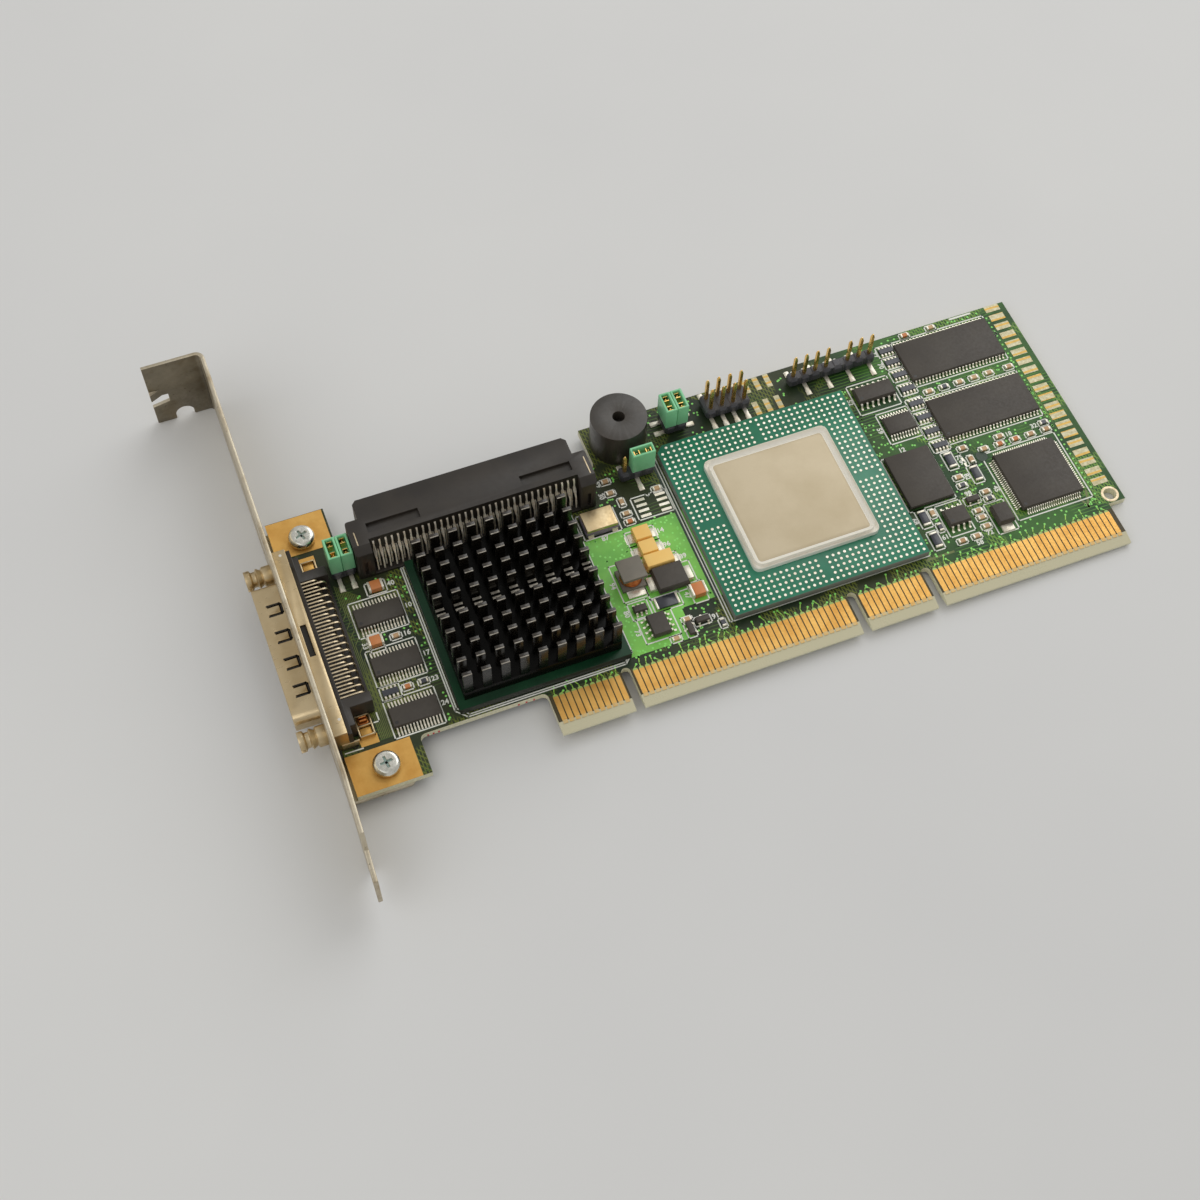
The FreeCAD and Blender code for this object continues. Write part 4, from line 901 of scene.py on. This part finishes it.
def internalConnector():
    spec = innerSpec
    softened("internal_connector_body", "connector", "connector_black", 0.16)
    low, high = nodeBox("internal_connector_leads")
    middle, back, front = (low[0] + high[0]) / 2, high[1], low[1]
    # upper row: a thin pin that flares into a twisted blade and ends in a thin tail
    path = [(back + y, z) for y, z in spec["upper"]] + [(front + 0.45, 4.1), (front + 0.25, 0.62)]
    upper = ribbon("contact_model", path, spec["widths"], spec["thickness"], spec["turns"])
    path = [(back + y, z) for y, z in spec["lower"]]
    lower = ribbon("contact_model", path, [spec["lowerWidth"]] * len(path), spec["thickness"])
    count, pitch = spec["contacts"], spec["pitch"]
    parts = [rowOf(upper, count, pitch, middle, 0), rowOf(lower, count - 1, pitch, middle, 0)]
    remove(upper, lower)
    # the contacts get the near white tin, a painted highlight against the shade in the bay
    assembled("drive_contacts_formed", parts, "highlightTin", "lead_tin", "internal_connector_leads", smooth=50)
    low, high = nodeBox("internal_connector_body")
    left, right = low[0] + 1.1, high[0] - 0.8
    strips = [(left, low[1] + 1.8, left, low[1] + 4.7), (right, low[1] + 2.0, right, low[1] + 6.0)]
    strokes("wing_strips", strips, 0.22, "warmTin", "connector_black", high[2] - 0.01, 0.05)
    print("internal connector")


headerSpec = {"pitch": 2.54, "corner": 0.55, "neck": 0.35, "gap": 0.06, "taper": 0.7, "mound": 1.5,
              "moundHalf": 0.6, "moundHeight": 0.3}


def taperedPin(pin):
    taper = headerSpec["taper"]
    pick(pin)
    for face in pin.data.polygons:
        face.select = face.normal.z > 0.9
    mode("EDIT")
    bpy.ops.mesh.select_mode(type="FACE")
    bpy.ops.transform.translate(value=(0, 0, -taper * mm))
    bpy.ops.mesh.extrude_region_move(TRANSFORM_OT_translate={"value": (0, 0, taper * mm)})
    bpy.ops.transform.resize(value=(0.4, 0.4, 1))
    mode("OBJECT")
    return bevelled(pin, 0.05, 1)


def solderMound(low, high, bases):
    # the end of a header foot is drowned in a low mound of solder
    along = longAxis(low, high)
    middle = middleOf(low, high)[:2]
    centres = [middleOf(*base) for base in bases]
    nearest = min(centres, key=lambda centre: abs(centre[0] - middle[0]) + abs(centre[1] - middle[1]))
    away = 1 if middle[along] > nearest[along] else -1
    half = headerSpec["moundHalf"]
    start, end = ([value + reach for value in middle] for reach in (-half, half))
    tip = high[along] if away > 0 else low[along]
    start[along], end[along] = sorted((tip, tip - away * headerSpec["mound"]))
    return bevelledBox("solder_mound", (*start, 0), (*end, headerSpec["moundHeight"]), 0.28, 3)


def headers():
    spec = headerSpec
    boxes = solidBoxes("header_bases")
    pins, feet, bases = [], [], []
    for low, high in solidBoxes("header_pins"):
        piece = addBox("header_metal", low, high)
        if high[2] > 3:
            pins.append(taperedPin(piece))
        else:
            feet += [bevelled(piece, 0.12), solderMound(low, high, boxes)]
    assembled("header_pins_tapered", pins, "pin", "pin_gold", "header_pins", smooth=30)
    assembled("header_feet", feet, "tin", "pin_gold", smooth=40)
    for low, high in boxes:
        # each column is one eight-cornered segment, with a narrow neck to the next
        for i in range(round((high[0] - low[0]) / spec["pitch"])):
            x0, x1 = low[0] + spec["pitch"] * i + spec["gap"], low[0] + spec["pitch"] * (i + 1) - spec["gap"]
            segment = addBox("header_segment", (x0, *low[1:]), (x1, *high[1:]))
            bases.append(bevelled(uprightBevel(segment, spec["corner"]), 0.08, 1))
        bases.append(addBox("header_neck", (low[0] + 0.4, low[1] + spec["neck"], low[2] + 0.1),
                            (high[0] - 0.4, high[1] - spec["neck"], high[2] - 0.15)))
    assembled("header_segments", bases, "header", "header_black", "header_bases")
    print("headers:", len(bases), "segments")


capSpec = {"count": 5, "apart": 0.52, "half": 0.5, "sheet": 0.09, "bottom": 2.15, "top": 0.55}


def jumperCaps():
    # mint caps, each with two pairs of sprung contacts in its opening
    spec = capSpec
    contacts = []
    for i in range(spec["count"]):
        name = "jumper_cap_%d" % (i + 1)
        softened(name, "mint", "jumper_mint", 0.16)
        low, high = nodeBox(name)
        x, y, z = middleOf(low, high)
        along = longAxis(low, high)
        size = [spec["half"], spec["half"]]
        size[along] = spec["sheet"]
        for pin in (-headerSpec["pitch"] / 2, headerSpec["pitch"] / 2):
            for edge in (-spec["apart"], spec["apart"]):
                place = [x, y]
                place[along] += pin + edge
                rise = high[2] - spec["bottom"], high[2] - spec["top"]
                contacts.append(block("cap_contact", *place, *size, *rise))
    assembled("jumper_cap_contacts", contacts, "pin", "jumper_mint")
    print("jumper caps")


def winding():
    low, high = nodeBox("inductor_winding")
    x, y, z = middleOf(low, high)
    radius, wire = (high[0] - low[0]) / 2, 0.24
    levels = [low[2] + wire * (2 * i + 1) for i in range(int((high[2] - low[2]) / (2 * wire)))]
    turns = [addRing("turn", (x, y, level), radius - wire, wire, 36, 10) for level in levels]
    turns.append(addRound("winding_core", x, y, low[2], high[2], radius - wire * 1.2))
    assembled("winding_turns", turns, "coil", "coil_copper", "inductor_winding", smooth=40)


def powerParts():
    softened("inductor_core", "ferrite", "ferrite", 0.15)
    winding()
    softened("yellow_capacitors", "yellow", "capacitor_yellow", 0.14, 3)
    softened("power_part_terminals", "tin", "lead_tin", 0.05, 1)
    softened("ceramic_capacitors", "brown", "capacitor_brown")
    softened("component_end_caps", "tin", "lead_tin", 0.1)
    softened("chip_resistors", "resistor", "resistor_dark", 0.05, 1)
    softened("oscillator_base", "ceramic", "ceramic_grey", 0.1, 1)
    low, high = nodeBox("oscillator_base")
    pads = []
    for x in (low[0] + 0.9, high[0] - 0.9):
        for y, side in ((low[1], -1), (high[1], 1)):
            for near, far, top in ((0.06, -0.4, 0.8), (0.45, 0, 0.12)):
                y0, y1 = sorted((y + side * near, y + side * far))
                pads.append(addBox("oscillator_pad", (x - 0.6, y0, 0), (x + 0.6, y1, top)))
    assembled("oscillator_terminals", pads, "tin", "lead_tin")
    softened("oscillator_lid", "goldLid", "oscillator_gold", 0.15, 3)
    print("power parts")


def heatSink():
    # two groups of fins either side of a low grooved one that holds the clip, all sawn into columns
    spec = sinkSpec
    low, high = nodeBox("heat_sink")
    x, y, z = middleOf(low, high)
    floor, top = low[2] + spec["base"], high[2]
    column = (high[0] - low[0] - spec["slot"] * (spec["columns"] - 1)) / spec["columns"]
    pitch, wide, half = column + spec["slot"], column / 2 - spec["narrow"] / 2, spec["fin"] / 2
    parts = [bevelledBox("sink_base", low, (high[0], high[1], floor), 0.1)]
    fin = bevelledBox("fin_model", (-wide, -half, floor - 0.2), (wide, half, top), 0.07)
    corners = (-wide + 0.03, -half + 0.02, top - 0.06), (wide - 0.03, -half + spec["sawn"], top + 0.01)
    line = bevelledBox("line_model", *corners, 0.03, 1)
    offsets = [half + spec["pitch"] * i for i in range(spec["rows"])]
    lines = []
    for row in [low[1] + offset for offset in offsets] + [high[1] - offset for offset in offsets]:
        parts.append(rowOf(fin, spec["columns"], pitch, x, row))
        lines.append(rowOf(line, spec["columns"], pitch, x, row))
    half, gap, top = spec["clipFin"] / 2, spec["groove"] / 2, floor + spec["clipHeight"]
    ledge = top - spec["grooveDepth"]
    lips = ((-half, -gap), (gap, half))
    clip = [addBox("clip_fin", (-wide, -half, floor - 0.2), (wide, half, ledge))]
    clip += [addBox("clip_lip", (-wide, y0, ledge - 0.3), (wide, y1, top)) for y0, y1 in lips]
    model = bevelled(joined("clip_model", clip), 0.07, 1)
    parts.append(rowOf(model, spec["columns"], pitch, x, y + spec["shift"]))
    edge = 0.04
    shine = [addBox("lip_shine", (edge - wide, y0 + edge, top - 0.05), (wide - edge, y1 - edge, top + 0.01))
             for y0, y1 in lips]
    shine = joined("shine_model", shine)
    lines.append(rowOf(shine, spec["columns"], pitch, x, y + spec["shift"]))
    remove(fin, model, line, shine)
    assembled("heat_sink_fins", parts, "sink", "sink_black", "heat_sink", smooth=25)
    assembled("sawn_edges", lines, "sawn", "sink_black")
    print("heat sink")


lidSpec = {"skirt": 0.7, "step": 0.6, "corner": 1.32, "radius": 1.7, "brimRound": 0.28, "topRound": 0.12}


def processorLid():
    spec, step = lidSpec, lidSpec["step"]
    low, high = nodeBox("processor_lid")
    brim = addBox("lid_brim", low, (high[0], high[1], low[2] + spec["skirt"]))
    uprightBevel(brim, spec["corner"], 3)
    # the brim gets the near white finish, a painted highlight
    finishPiece(bevelled(brim, spec["brimRound"], 5, 50, True), "brim", "lid_plating", "processor_lid")
    corners = (low[0] + step, low[1] + step, low[2] + 0.1), (high[0] - step, high[1] - step, high[2])
    rise = addBox("lid_middle", *corners)
    uprightBevel(rise, spec["radius"], 6)
    finishPiece(bevelled(rise, spec["topRound"], 3, 50, True), "lid", "lid_plating")


ballSpec = {"pitch": 1.27, "half": 16, "deep": 5, "radius": 0.3}


def processorDetail():
    # rings of pads round the lid, open along both middle lines and at the first corner
    low, high = nodeBox("processor_substrate")
    x, y, z = middleOf(low, high)
    half, pitch = ballSpec["half"], ballSpec["pitch"]
    model = addRound("ball_pad_model", 0, 0, 0, 0.05, ballSpec["radius"], 10)
    parts = []
    for i in range(-half, half + 1):
        for j in range(-half, half + 1):
            outside = max(abs(i), abs(j)) > half - ballSpec["deep"]
            middle = (i == 0 and abs(j) < half) or (j == 0 and abs(i) < half)
            if outside and not middle and (i, j) != (-half, half):
                parts.append(copyOf(model, x + i * pitch, y + j * pitch, high[2]))
    remove(model)
    print("processor pads:", len(parts))
    assembled("processor_pads", parts, "tin", "processor_green")
    softened("processor_substrate", "processor", "processor_green", 0.08, 1)
    processorLid()
    # the controller substrate gets its darkened mask, painted shade
    softened("controller_substrate", "controller", "controller_green", 0.06, 1)
    heatSink()


class Print:
    # gathers the printed lines, the ground that is taken and the frames that get a number
    def __init__(self):
        self.lines, self.taken, self.frames = [], [], []

    def around(self, low, high, left, bottom, right=None, top=None, drawn=True, numbered=True):
        right, top = left if right is None else right, bottom if top is None else top
        box = (low[0] - left, low[1] - bottom, high[0] + right, high[1] + top)
        self.taken.append((box[0] - 0.15, box[1] - 0.15, box[2] + 0.15, box[3] + 0.15))
        if drawn:
            self.lines += rectangle(*box)
        if numbered:
            self.frames.append(box)

    def free(self, box):
        # whether a rectangle is clear of all that is taken
        return all(box[2] < other[0] or box[0] > other[2] or box[3] < other[1] or box[1] > other[3]
                   for other in self.taken)


printSpec = {
    "line": 0.27, "digits": 1.5, "vias": 460, "clearing": 0.3, "controllerCut": 2.0,
    "frames": (  # left and bottom margins, then right and top where they differ
        (terminators, 0.3, 1.8, 0.15, 2.1), (memories, 0.3, 1.2), (("logic_chip",), 1.6, 1.6),
        (("driver_chip",), 0.45, 2.2, 0.45, 1.75), (("buffer_chip",), 0.4, 1.8),
        (("settings_memory_chip",), 0.5, 1.85, 0.25, 2.05), (("regulator_chip",), 1.7, 0.5),
        (("switch_chip",), 0.6, 1.2), (("oscillator_base",), 0.5, 0.5),
        (("inductor_core",), 0.55, 2.05, -0.45, 1.65),
        (("flash_chip",), 0.4, 0.4), (("protection_diode",), 0.4, 1.5), (("rectifier_body",), 1.9, 0.3)),
    "pour": ((21.8, 28.05, 36.4, 28.05, 21.1), (21.3, 14.05, 28.0, 14.05, 6.9)),
    "emptyPads": ((100.0, 28.4, 100.0, 28.7, 0.5), (100.0, 29.7, 100.0, 30.0, 0.5)),
    "bareSpot": (104.1, 29.2), "topBar": (114.2, 64.0, 119.0, 64.0),
    "room": {"left": -31, "bottom": 9.5, "right": 122, "top": 56, "notchEnd": 29, "upperTop": 64},
    "bundle": {"tracks": 14, "left": -31.4, "step": 0.32, "top": 46.0, "topStep": 0.3, "bend": 41.0,
               "bendStep": 1.9, "shift": 1.2, "drop": 1.6, "end": 11.0},
    "olive": ((82.0, 10.4, 88.0, 10.4, 0.5), (118.0, 14.0, 119.2, 10.4, 0.5), (119.2, 10.4, 120.5, 14.0, 0.5)),
}


def halfRing(x, y, radius, side):
    angles = [math.pi * i / 8 for i in range(9)]
    return chained([(x + side * radius * math.sin(angle), y - radius * math.cos(angle)) for angle in angles])


def partFrames(sheet):
    for nodes, *margins in printSpec["frames"]:
        for node in nodes:
            sheet.around(*nodeBox(node), *margins)
    for node in memories:
        low, high = nodeBox(node)
        rise = low[1] + 0.584 * (high[1] - low[1])
        sheet.lines += halfRing(low[0] - 0.3, rise, 0.65, -1) + halfRing(high[0] + 0.3, rise, 0.65, 1)
    for low, high in solidBoxes("ceramic_capacitors") + solidBoxes("chip_resistors"):
        sheet.around(low, high, *((1.0, 0.4) if longAxis(low, high) == 0 else (0.4, 1.0)))
    for low, high in solidBoxes("yellow_capacitors"):
        sheet.around(low, high, 1.3, 0.15)
    for low, high in solidBoxes("resistor_arrays") + solidBoxes("transistors"):
        sheet.around(low, high, 0.35, 0.35)
    for low, high in solidBoxes("small_chip_components"):
        sheet.lines += rectangle(low[0] - 0.32, low[1] - 0.32, high[0] + 0.32, high[1] + 0.32)
        sheet.around(low, high, 0.35, 0.35, drawn=False, numbered=chance.random() < 0.5)


def controllerFrame(sheet):
    # the controller's outline with cut lower corners, doubled at the left and below
    low, high = nodeBox("controller_substrate")
    cut = printSpec["controllerCut"]
    for grow in (0.3, 0.75):
        x0, x1, y0, y1 = low[0] - grow, high[0] + 0.6, low[1] - grow + 0.1, high[1] + 0.2
        sheet.lines += chained([(x0, y1), (x0, y0 + cut), (x0 + cut, y0), (x1 - cut, y0), (x1, y0 + cut)])
    sheet.lines += chained([(x1, y0 + cut), (x1, y1), (x0, y1)])
    sheet.taken.append((x0, y0, x1, y1))


def goldCorner():
    low, high = nodeBox("controller_substrate")
    x, y = low[0] + 0.7, high[1] - 0.35
    marks = [(x, y, x + 0.01, y, 0.7), (x - 0.2, y - 1.2, x - 0.2, y, 0.35)]
    strokes("gold_corner", marks, 0.7, "gold", "gold", 0.014, 0.01)


def processorFrame(sheet):
    # two lines left of the processor over a dark strip, one below it, and a notched box with eight bare pads
    low, high = nodeBox("processor_substrate")
    left, bottom = low[0] - 0.8, low[1] + 0.3
    sheet.lines += [(left, bottom, left, high[1]), (low[0] - 0.2, bottom, low[0] - 0.2, high[1]),
                    (left, bottom, high[0] + 0.5, bottom)]
    sheet.taken.append((low[0] - 1.5, low[1] - 0.5, high[0] + 0.3, high[1] + 0.3))
    strip = [(low[0] - 0.75, low[1] + 7, low[0] - 0.75, high[1] - 1)]
    strokes("dark_strip", strip, 1.3, "darkMask", "board", 0.006, 0.006)
    x0, x1, y0, y1 = low[0] - 8.8, low[0] - 1.1, high[1] - 14.1, high[1] - 8.6
    notch = (x0 + x1) / 2
    sheet.lines += chained([(notch + 0.5, y1), (x1, y1), (x1, y0), (x0, y0), (x0, y1), (notch - 0.5, y1),
                            (notch, y1 - 0.6), (notch + 0.5, y1)])
    sheet.taken.append((x0, y0, x1, y1))
    levels = [y0 + 0.75 + 1.3 * i for i in range(4)]
    return [(left, y, left + 1.6, y, 0.62) for y in levels for left in (x0 + 0.95, x1 - 2.25)]


def tinnedGround(pads):
    # tin under the tantalum parts and the arrays, on an empty place and at the ends of the lead rows
    for low, high in solidBoxes("yellow_capacitors"):
        y = (low[1] + high[1]) / 2
        pads += [(low[0] - 0.7, y, low[0] + 0.3, y, 1.9), (high[0] - 0.3, y, high[0] + 0.7, y, 1.9)]
    for low, high in solidBoxes("resistor_arrays"):
        x, y, z = middleOf(low, high)
        half, wide = arraySpec["pad"]
        pads += [(px, y - half, px, y + half, wide) for px in arrayRow(x)]
    count, pitch = leadRows["terminator"][2:4]
    for node in terminators:
        low, high = nodeBox(node)
        for x in spread((low[0] + high[0]) / 2, count, pitch):
            pads += [(x, low[1] - 1.4, x, low[1] - 0.8, 0.32), (x, high[1] + 0.8, x, high[1] + 1.4, 0.32)]
    strokes("tin_pads", [*pads, *printSpec["emptyPads"]], 0.6, "tin", "lead_tin", 0.0, 0.02)


def edgeLines(sheet):
    # lines beside the locks, bars over the headers, and ground that the tall pieces take
    board = nodeBox("board")
    low, high = nodeBox("external_connector_board_locks")
    rise = low[1] + 2.6
    sheet.lines.append((board[0][0] + 0.5, low[1] - 1.75, low[0], low[1] - 1.8))
    sheet.lines += chained([(high[0] + 0.4, rise), (high[0] + 1.4, rise), (high[0] + 1.4, low[1] + 4.4)])
    bars, pitch = [printSpec["topBar"]], headerSpec["pitch"]
    for low, high in solidBoxes("header_bases"):
        if high[1] > 60:
            columns = [low[0] + pitch * i for i in range(1, int((high[0] - low[0]) / pitch))]
            bars += [(x, high[1] + 0.5, x, high[1] + 1.5) for x in columns]
        sheet.taken.append((low[0] - 0.3, low[1] - 3.4, high[0] + 0.3, high[1] + 0.3))
    strokes("thick_bars", bars, 0.45, "silk", "board", 0.012)
    for node in ("buzzer", "internal_connector_body", "spare_header_pads"):
        low, high = nodeBox(node)
        sheet.taken.append((low[0] - 0.4, low[1] - 0.2, high[0] + 0.4, high[1] + 0.4))


def onBoard(box):
    # whether a rectangle lies on the board, which is higher to the right of its top notch
    room = printSpec["room"]
    low = box[3] < room["top"] or box[0] > room["notchEnd"] and box[3] < room["upperTop"]
    return low and box[0] > room["left"] and box[2] < room["right"] and box[1] > room["bottom"]


def printLabels(sheet):
    # a plain number beside each part, on the first free side
    labels = []
    for i, (x0, y0, x1, y1) in enumerate(sheet.frames):
        text = str((i * 7) % 89 + 10)
        x, y = (x0 + x1) / 2, (y0 + y1) / 2
        sides = ((x1 + 1.05, y, 0), (x0 - 0.75, y, 270), (x, y1 + 0.75, 0), (x, y0 - 0.75, 0),
                 (x0 - 1.05, y, 0))
        for px, py, turn in sides:
            wide, tall = (0.55, 0.85) if turn else (0.85, 0.55)
            box = (px - wide, py - tall, px + wide, py + tall)
            if onBoard(box) and sheet.free(box):
                sheet.taken.append(box)
                labels.append((text, px, py, turn))
                break
    return labels


def numbers(name, labels, size, finish, slot, z0):
    # small plain numbers: text made a mesh, then laid at its place
    parts = []
    for text, x, y, turn in labels:
        deselect()
        bpy.ops.object.text_add()
        piece = bpy.context.active_object
        piece.data.body, piece.data.size, piece.data.resolution_u = text, size * mm, 2
        piece.data.align_x, piece.data.align_y = "CENTER", "CENTER"
        piece.data.offset, piece.data.extrude = 0.05 * mm, 0.006 * mm
        pick(piece)
        bpy.ops.object.convert(target="MESH")
        parts.append(laid(bpy.context.active_object, x, y, z0, turn))
    return assembled(name, parts, finish, slot)


def tracksAndHoles(sheet):
    # tracks, holes and light caps above the edge contacts, worn gold below them, and holes on free ground
    tracks, holes, caps, worn = [], [], [], []
    for low, high in solidBoxes("edge_contacts"):
        x, top, wide = (low[0] + high[0]) / 2, high[1], high[0] - low[0]
        reach = chance.choice((0.7, 1.1, 1.5, 1.9, 2.4))
        lean = chance.choice((-0.6, 0.0, 0.35, 0.6))
        tracks += chained([(x, top), (x, top + reach * 0.5), (x + lean, top + reach)])
        holes.append((x + lean, top + reach))
        caps.append((x, top))
        worn.append((x, low[1] - 0.3, x, low[1] - 0.1, wide - 0.1))
    strokes("contact_tracks", tracks, 0.2, "track", "board", 0, 0.008)
    dots("contact_caps", caps, 0.5, "cap", "board", 0, 0.01, 12)
    strokes("contact_wear", worn, 0.9, "worn", "gold", 0, 0.03)
    near = printSpec["clearing"]
    while len(holes) < printSpec["vias"]:
        x, y = chance.uniform(-30, 122), chance.uniform(10.2, 63.5)
        if (y < 56 or x > 29) and sheet.free((x - near, y - near, x + near, y + near)):
            holes.append((x, y))
    low, high = nodeBox("test_pads")
    holes += [(low[0] - 0.7, low[1] + 1.27 * i) for i in range(38)]
    dots("via_holes", holes, 0.24, "via", "board", 0, 0.012)
    dots("bare_spot", [printSpec["bareSpot"]], 1.3, "darkMask", "board", 0.03, 0.03, 9)
    bundle, spec = [*printSpec["olive"]], printSpec["bundle"]
    for i in range(spec["tracks"]):
        x, bend = spec["left"] + i * spec["step"], spec["bend"] - i * spec["bendStep"]
        left = x - spec["shift"]
        bundle += chained([(x, spec["top"] - i * spec["topStep"]), (x, bend), (left, bend - spec["drop"]),
                           (left, spec["end"])])
    strokes("track_bundle", bundle, 0.16, "oliveTrack", "board", 0, 0.006)


def dabsAndRing():
    # red ink dabs along the edge of the lower cutout, and the ring of the retainer hole
    corners = frame["record"]["physics"]["openings"][0]["box_m"]
    start, end = ([value / mm for value in corner] for corner in corners)
    edge = end[1] + 0.9
    dabs = []
    for i in range(3):
        for x in (start[0] + 0.6 + 1.08 * i, end[0] - 4.7 + 1.55 * i):
            dabs.append(addBox("ink_dab", (x - 0.18, edge - 0.02, -1.5), (x + 0.18, edge + 0.1, -0.9)))
    assembled("ink_dabs", dabs, "redInk", "board")
    hole = [value / mm for value in frame["record"]["mounts"][2]["pos_m"]]
    ring = addRing("ring_model", (hole[0], hole[1], 0), 1.6, 0.28, 40, 8, 0.12)
    assembled("retainer_ring", [ring], "warmTin", "board", smooth=40)


def boardPrint():
    sheet = Print()
    partFrames(sheet)
    controllerFrame(sheet)
    tinnedGround(processorFrame(sheet))
    goldCorner()
    edgeLines(sheet)
    strokes("screen_lines", sheet.lines, printSpec["line"], "silk", "board", 0.012)
    labels = printLabels(sheet)
    numbers("screen_numbers", labels, printSpec["digits"], "silk", "board", 0.012)
    strokes("copper_pour", printSpec["pour"], 1, "pour", "board", 0, 0.01)
    tracksAndHoles(sheet)
    dabsAndRing()
    print("print:", len(sheet.lines), "lines,", len(labels), "numbers")


def solderSide():
    # the far side: contacts on the edge, and light mask dots over the plated holes
    bottom = nodeBox("board")[0][2]
    parts = [addBox("back_contact", (low[0], low[1], bottom - 0.04), (high[0], high[1], bottom))
             for low, high in solidBoxes("edge_contacts")]
    assembled("back_contacts", parts, "gold", "gold")
    holes = [(chance.uniform(-24, 125), chance.uniform(11, 53)) for i in range(260)]
    dots("back_holes", holes, 0.26, "via", "board", bottom - 0.012, 0.012)


studioSpec = {"ground": 3.0, "footX": -42.2, "middle": (0.04, 0.03, 0), "world": 0.5,
              "lamps": {"key": ((0.6, 0.5, 0.6), 0.85, 3.4), "fill": ((-0.5, -0.1, 0.6), 0.7, 1.2)}}


def floorAndLight():
    # the card leans on the bracket's long edge and the far end of the board, so the floor passes through both
    spec = studioSpec
    board, bracket = nodeBox("board"), nodeBox("bracket")
    x0, z0, x1, z1 = spec["footX"], bracket[0][2] - 0.05, board[1][0], board[0][2] - 0.06
    lean = math.atan2(z1 - z0, x1 - x0)
    x, y, z = spec["middle"]
    rise = z0 + (x / mm - x0) * math.tan(lean)
    floor = primitive(bpy.ops.mesh.primitive_plane_add, "floor", (x / mm, y / mm, rise), size=spec["ground"])
    floor.rotation_euler = (0, -lean, 0)
    paper = Finish("palePaper")
    mottle = paper.ramp(paper.noise(6, 4), 0.3, 0.7)
    paper.drive("Base Color", paper.mix(mottle, (226, 226, 224), (220, 220, 219)))
    paper.drive("Roughness", 0.9)
    floor.data.materials.append(paper.material)

    world = bpy.context.scene.world or bpy.data.worlds.new("studio")
    bpy.context.scene.world = world
    world.use_nodes = True
    background = world.node_tree.nodes["Background"]
    background.inputs["Color"].default_value = (1.0, 0.99, 0.97, 1)
    background.inputs["Strength"].default_value = spec["world"]
    for name, (place, size, power) in spec["lamps"].items():
        deselect()
        bpy.ops.object.light_add(type="AREA", location=place)
        lamp = bpy.context.active_object
        lamp.name = name + "_lamp"
        lamp.data.size = size
        lamp.data.energy = power
        aim = Vector(spec["middle"]) - Vector(place)
        lamp.rotation_euler = aim.to_track_quat("-Z", "Y").to_euler()


cameraSpec = {"place": (-50.35, -131.47, 300.3), "forward": (0.195, 0.4528, -0.8701),
              "up": (0.3032, 0.8158, 0.4925), "lens": 52.30}


def camera():
    forward = Vector(cameraSpec["forward"]).normalized()
    up = Vector(cameraSpec["up"])
    up = (up - forward * up.dot(forward)).normalized()
    deselect()
    bpy.ops.object.camera_add(location=metres(cameraSpec["place"]))
    view = bpy.context.active_object
    view.rotation_euler = Matrix((forward.cross(up), up, -forward)).transposed().to_euler()
    view.data.sensor_width = 36
    view.data.lens = cameraSpec["lens"]
    view.data.clip_start = 0.01
    bpy.context.scene.camera = view


plainNodes = {"board": "board", "edge_contacts": "gold", "ground_pads": "gold", "test_pads": "pad",
              "spare_header_pads": "pad", "package_solder_balls": "solder"}


def main():
    print("frame loaded")
    for node, finish in plainNodes.items():
        dressNode(node, finish)
    softened("bracket", "bracket", "bracket_plating", 0.15)
    softened("buzzer", "buzzer", "buzzer_black", 0.3, 3)
    packages()
    smallParts()
    resistorArrays()
    externalConnector()
    jackPosts()
    bracketScrews()
    internalConnector()
    headers()
    jumperCaps()
    powerParts()
    processorDetail()
    boardPrint()
    solderSide()
    floorAndLight()
    camera()
    bpy.context.scene.view_settings.view_transform = "Standard"


main()
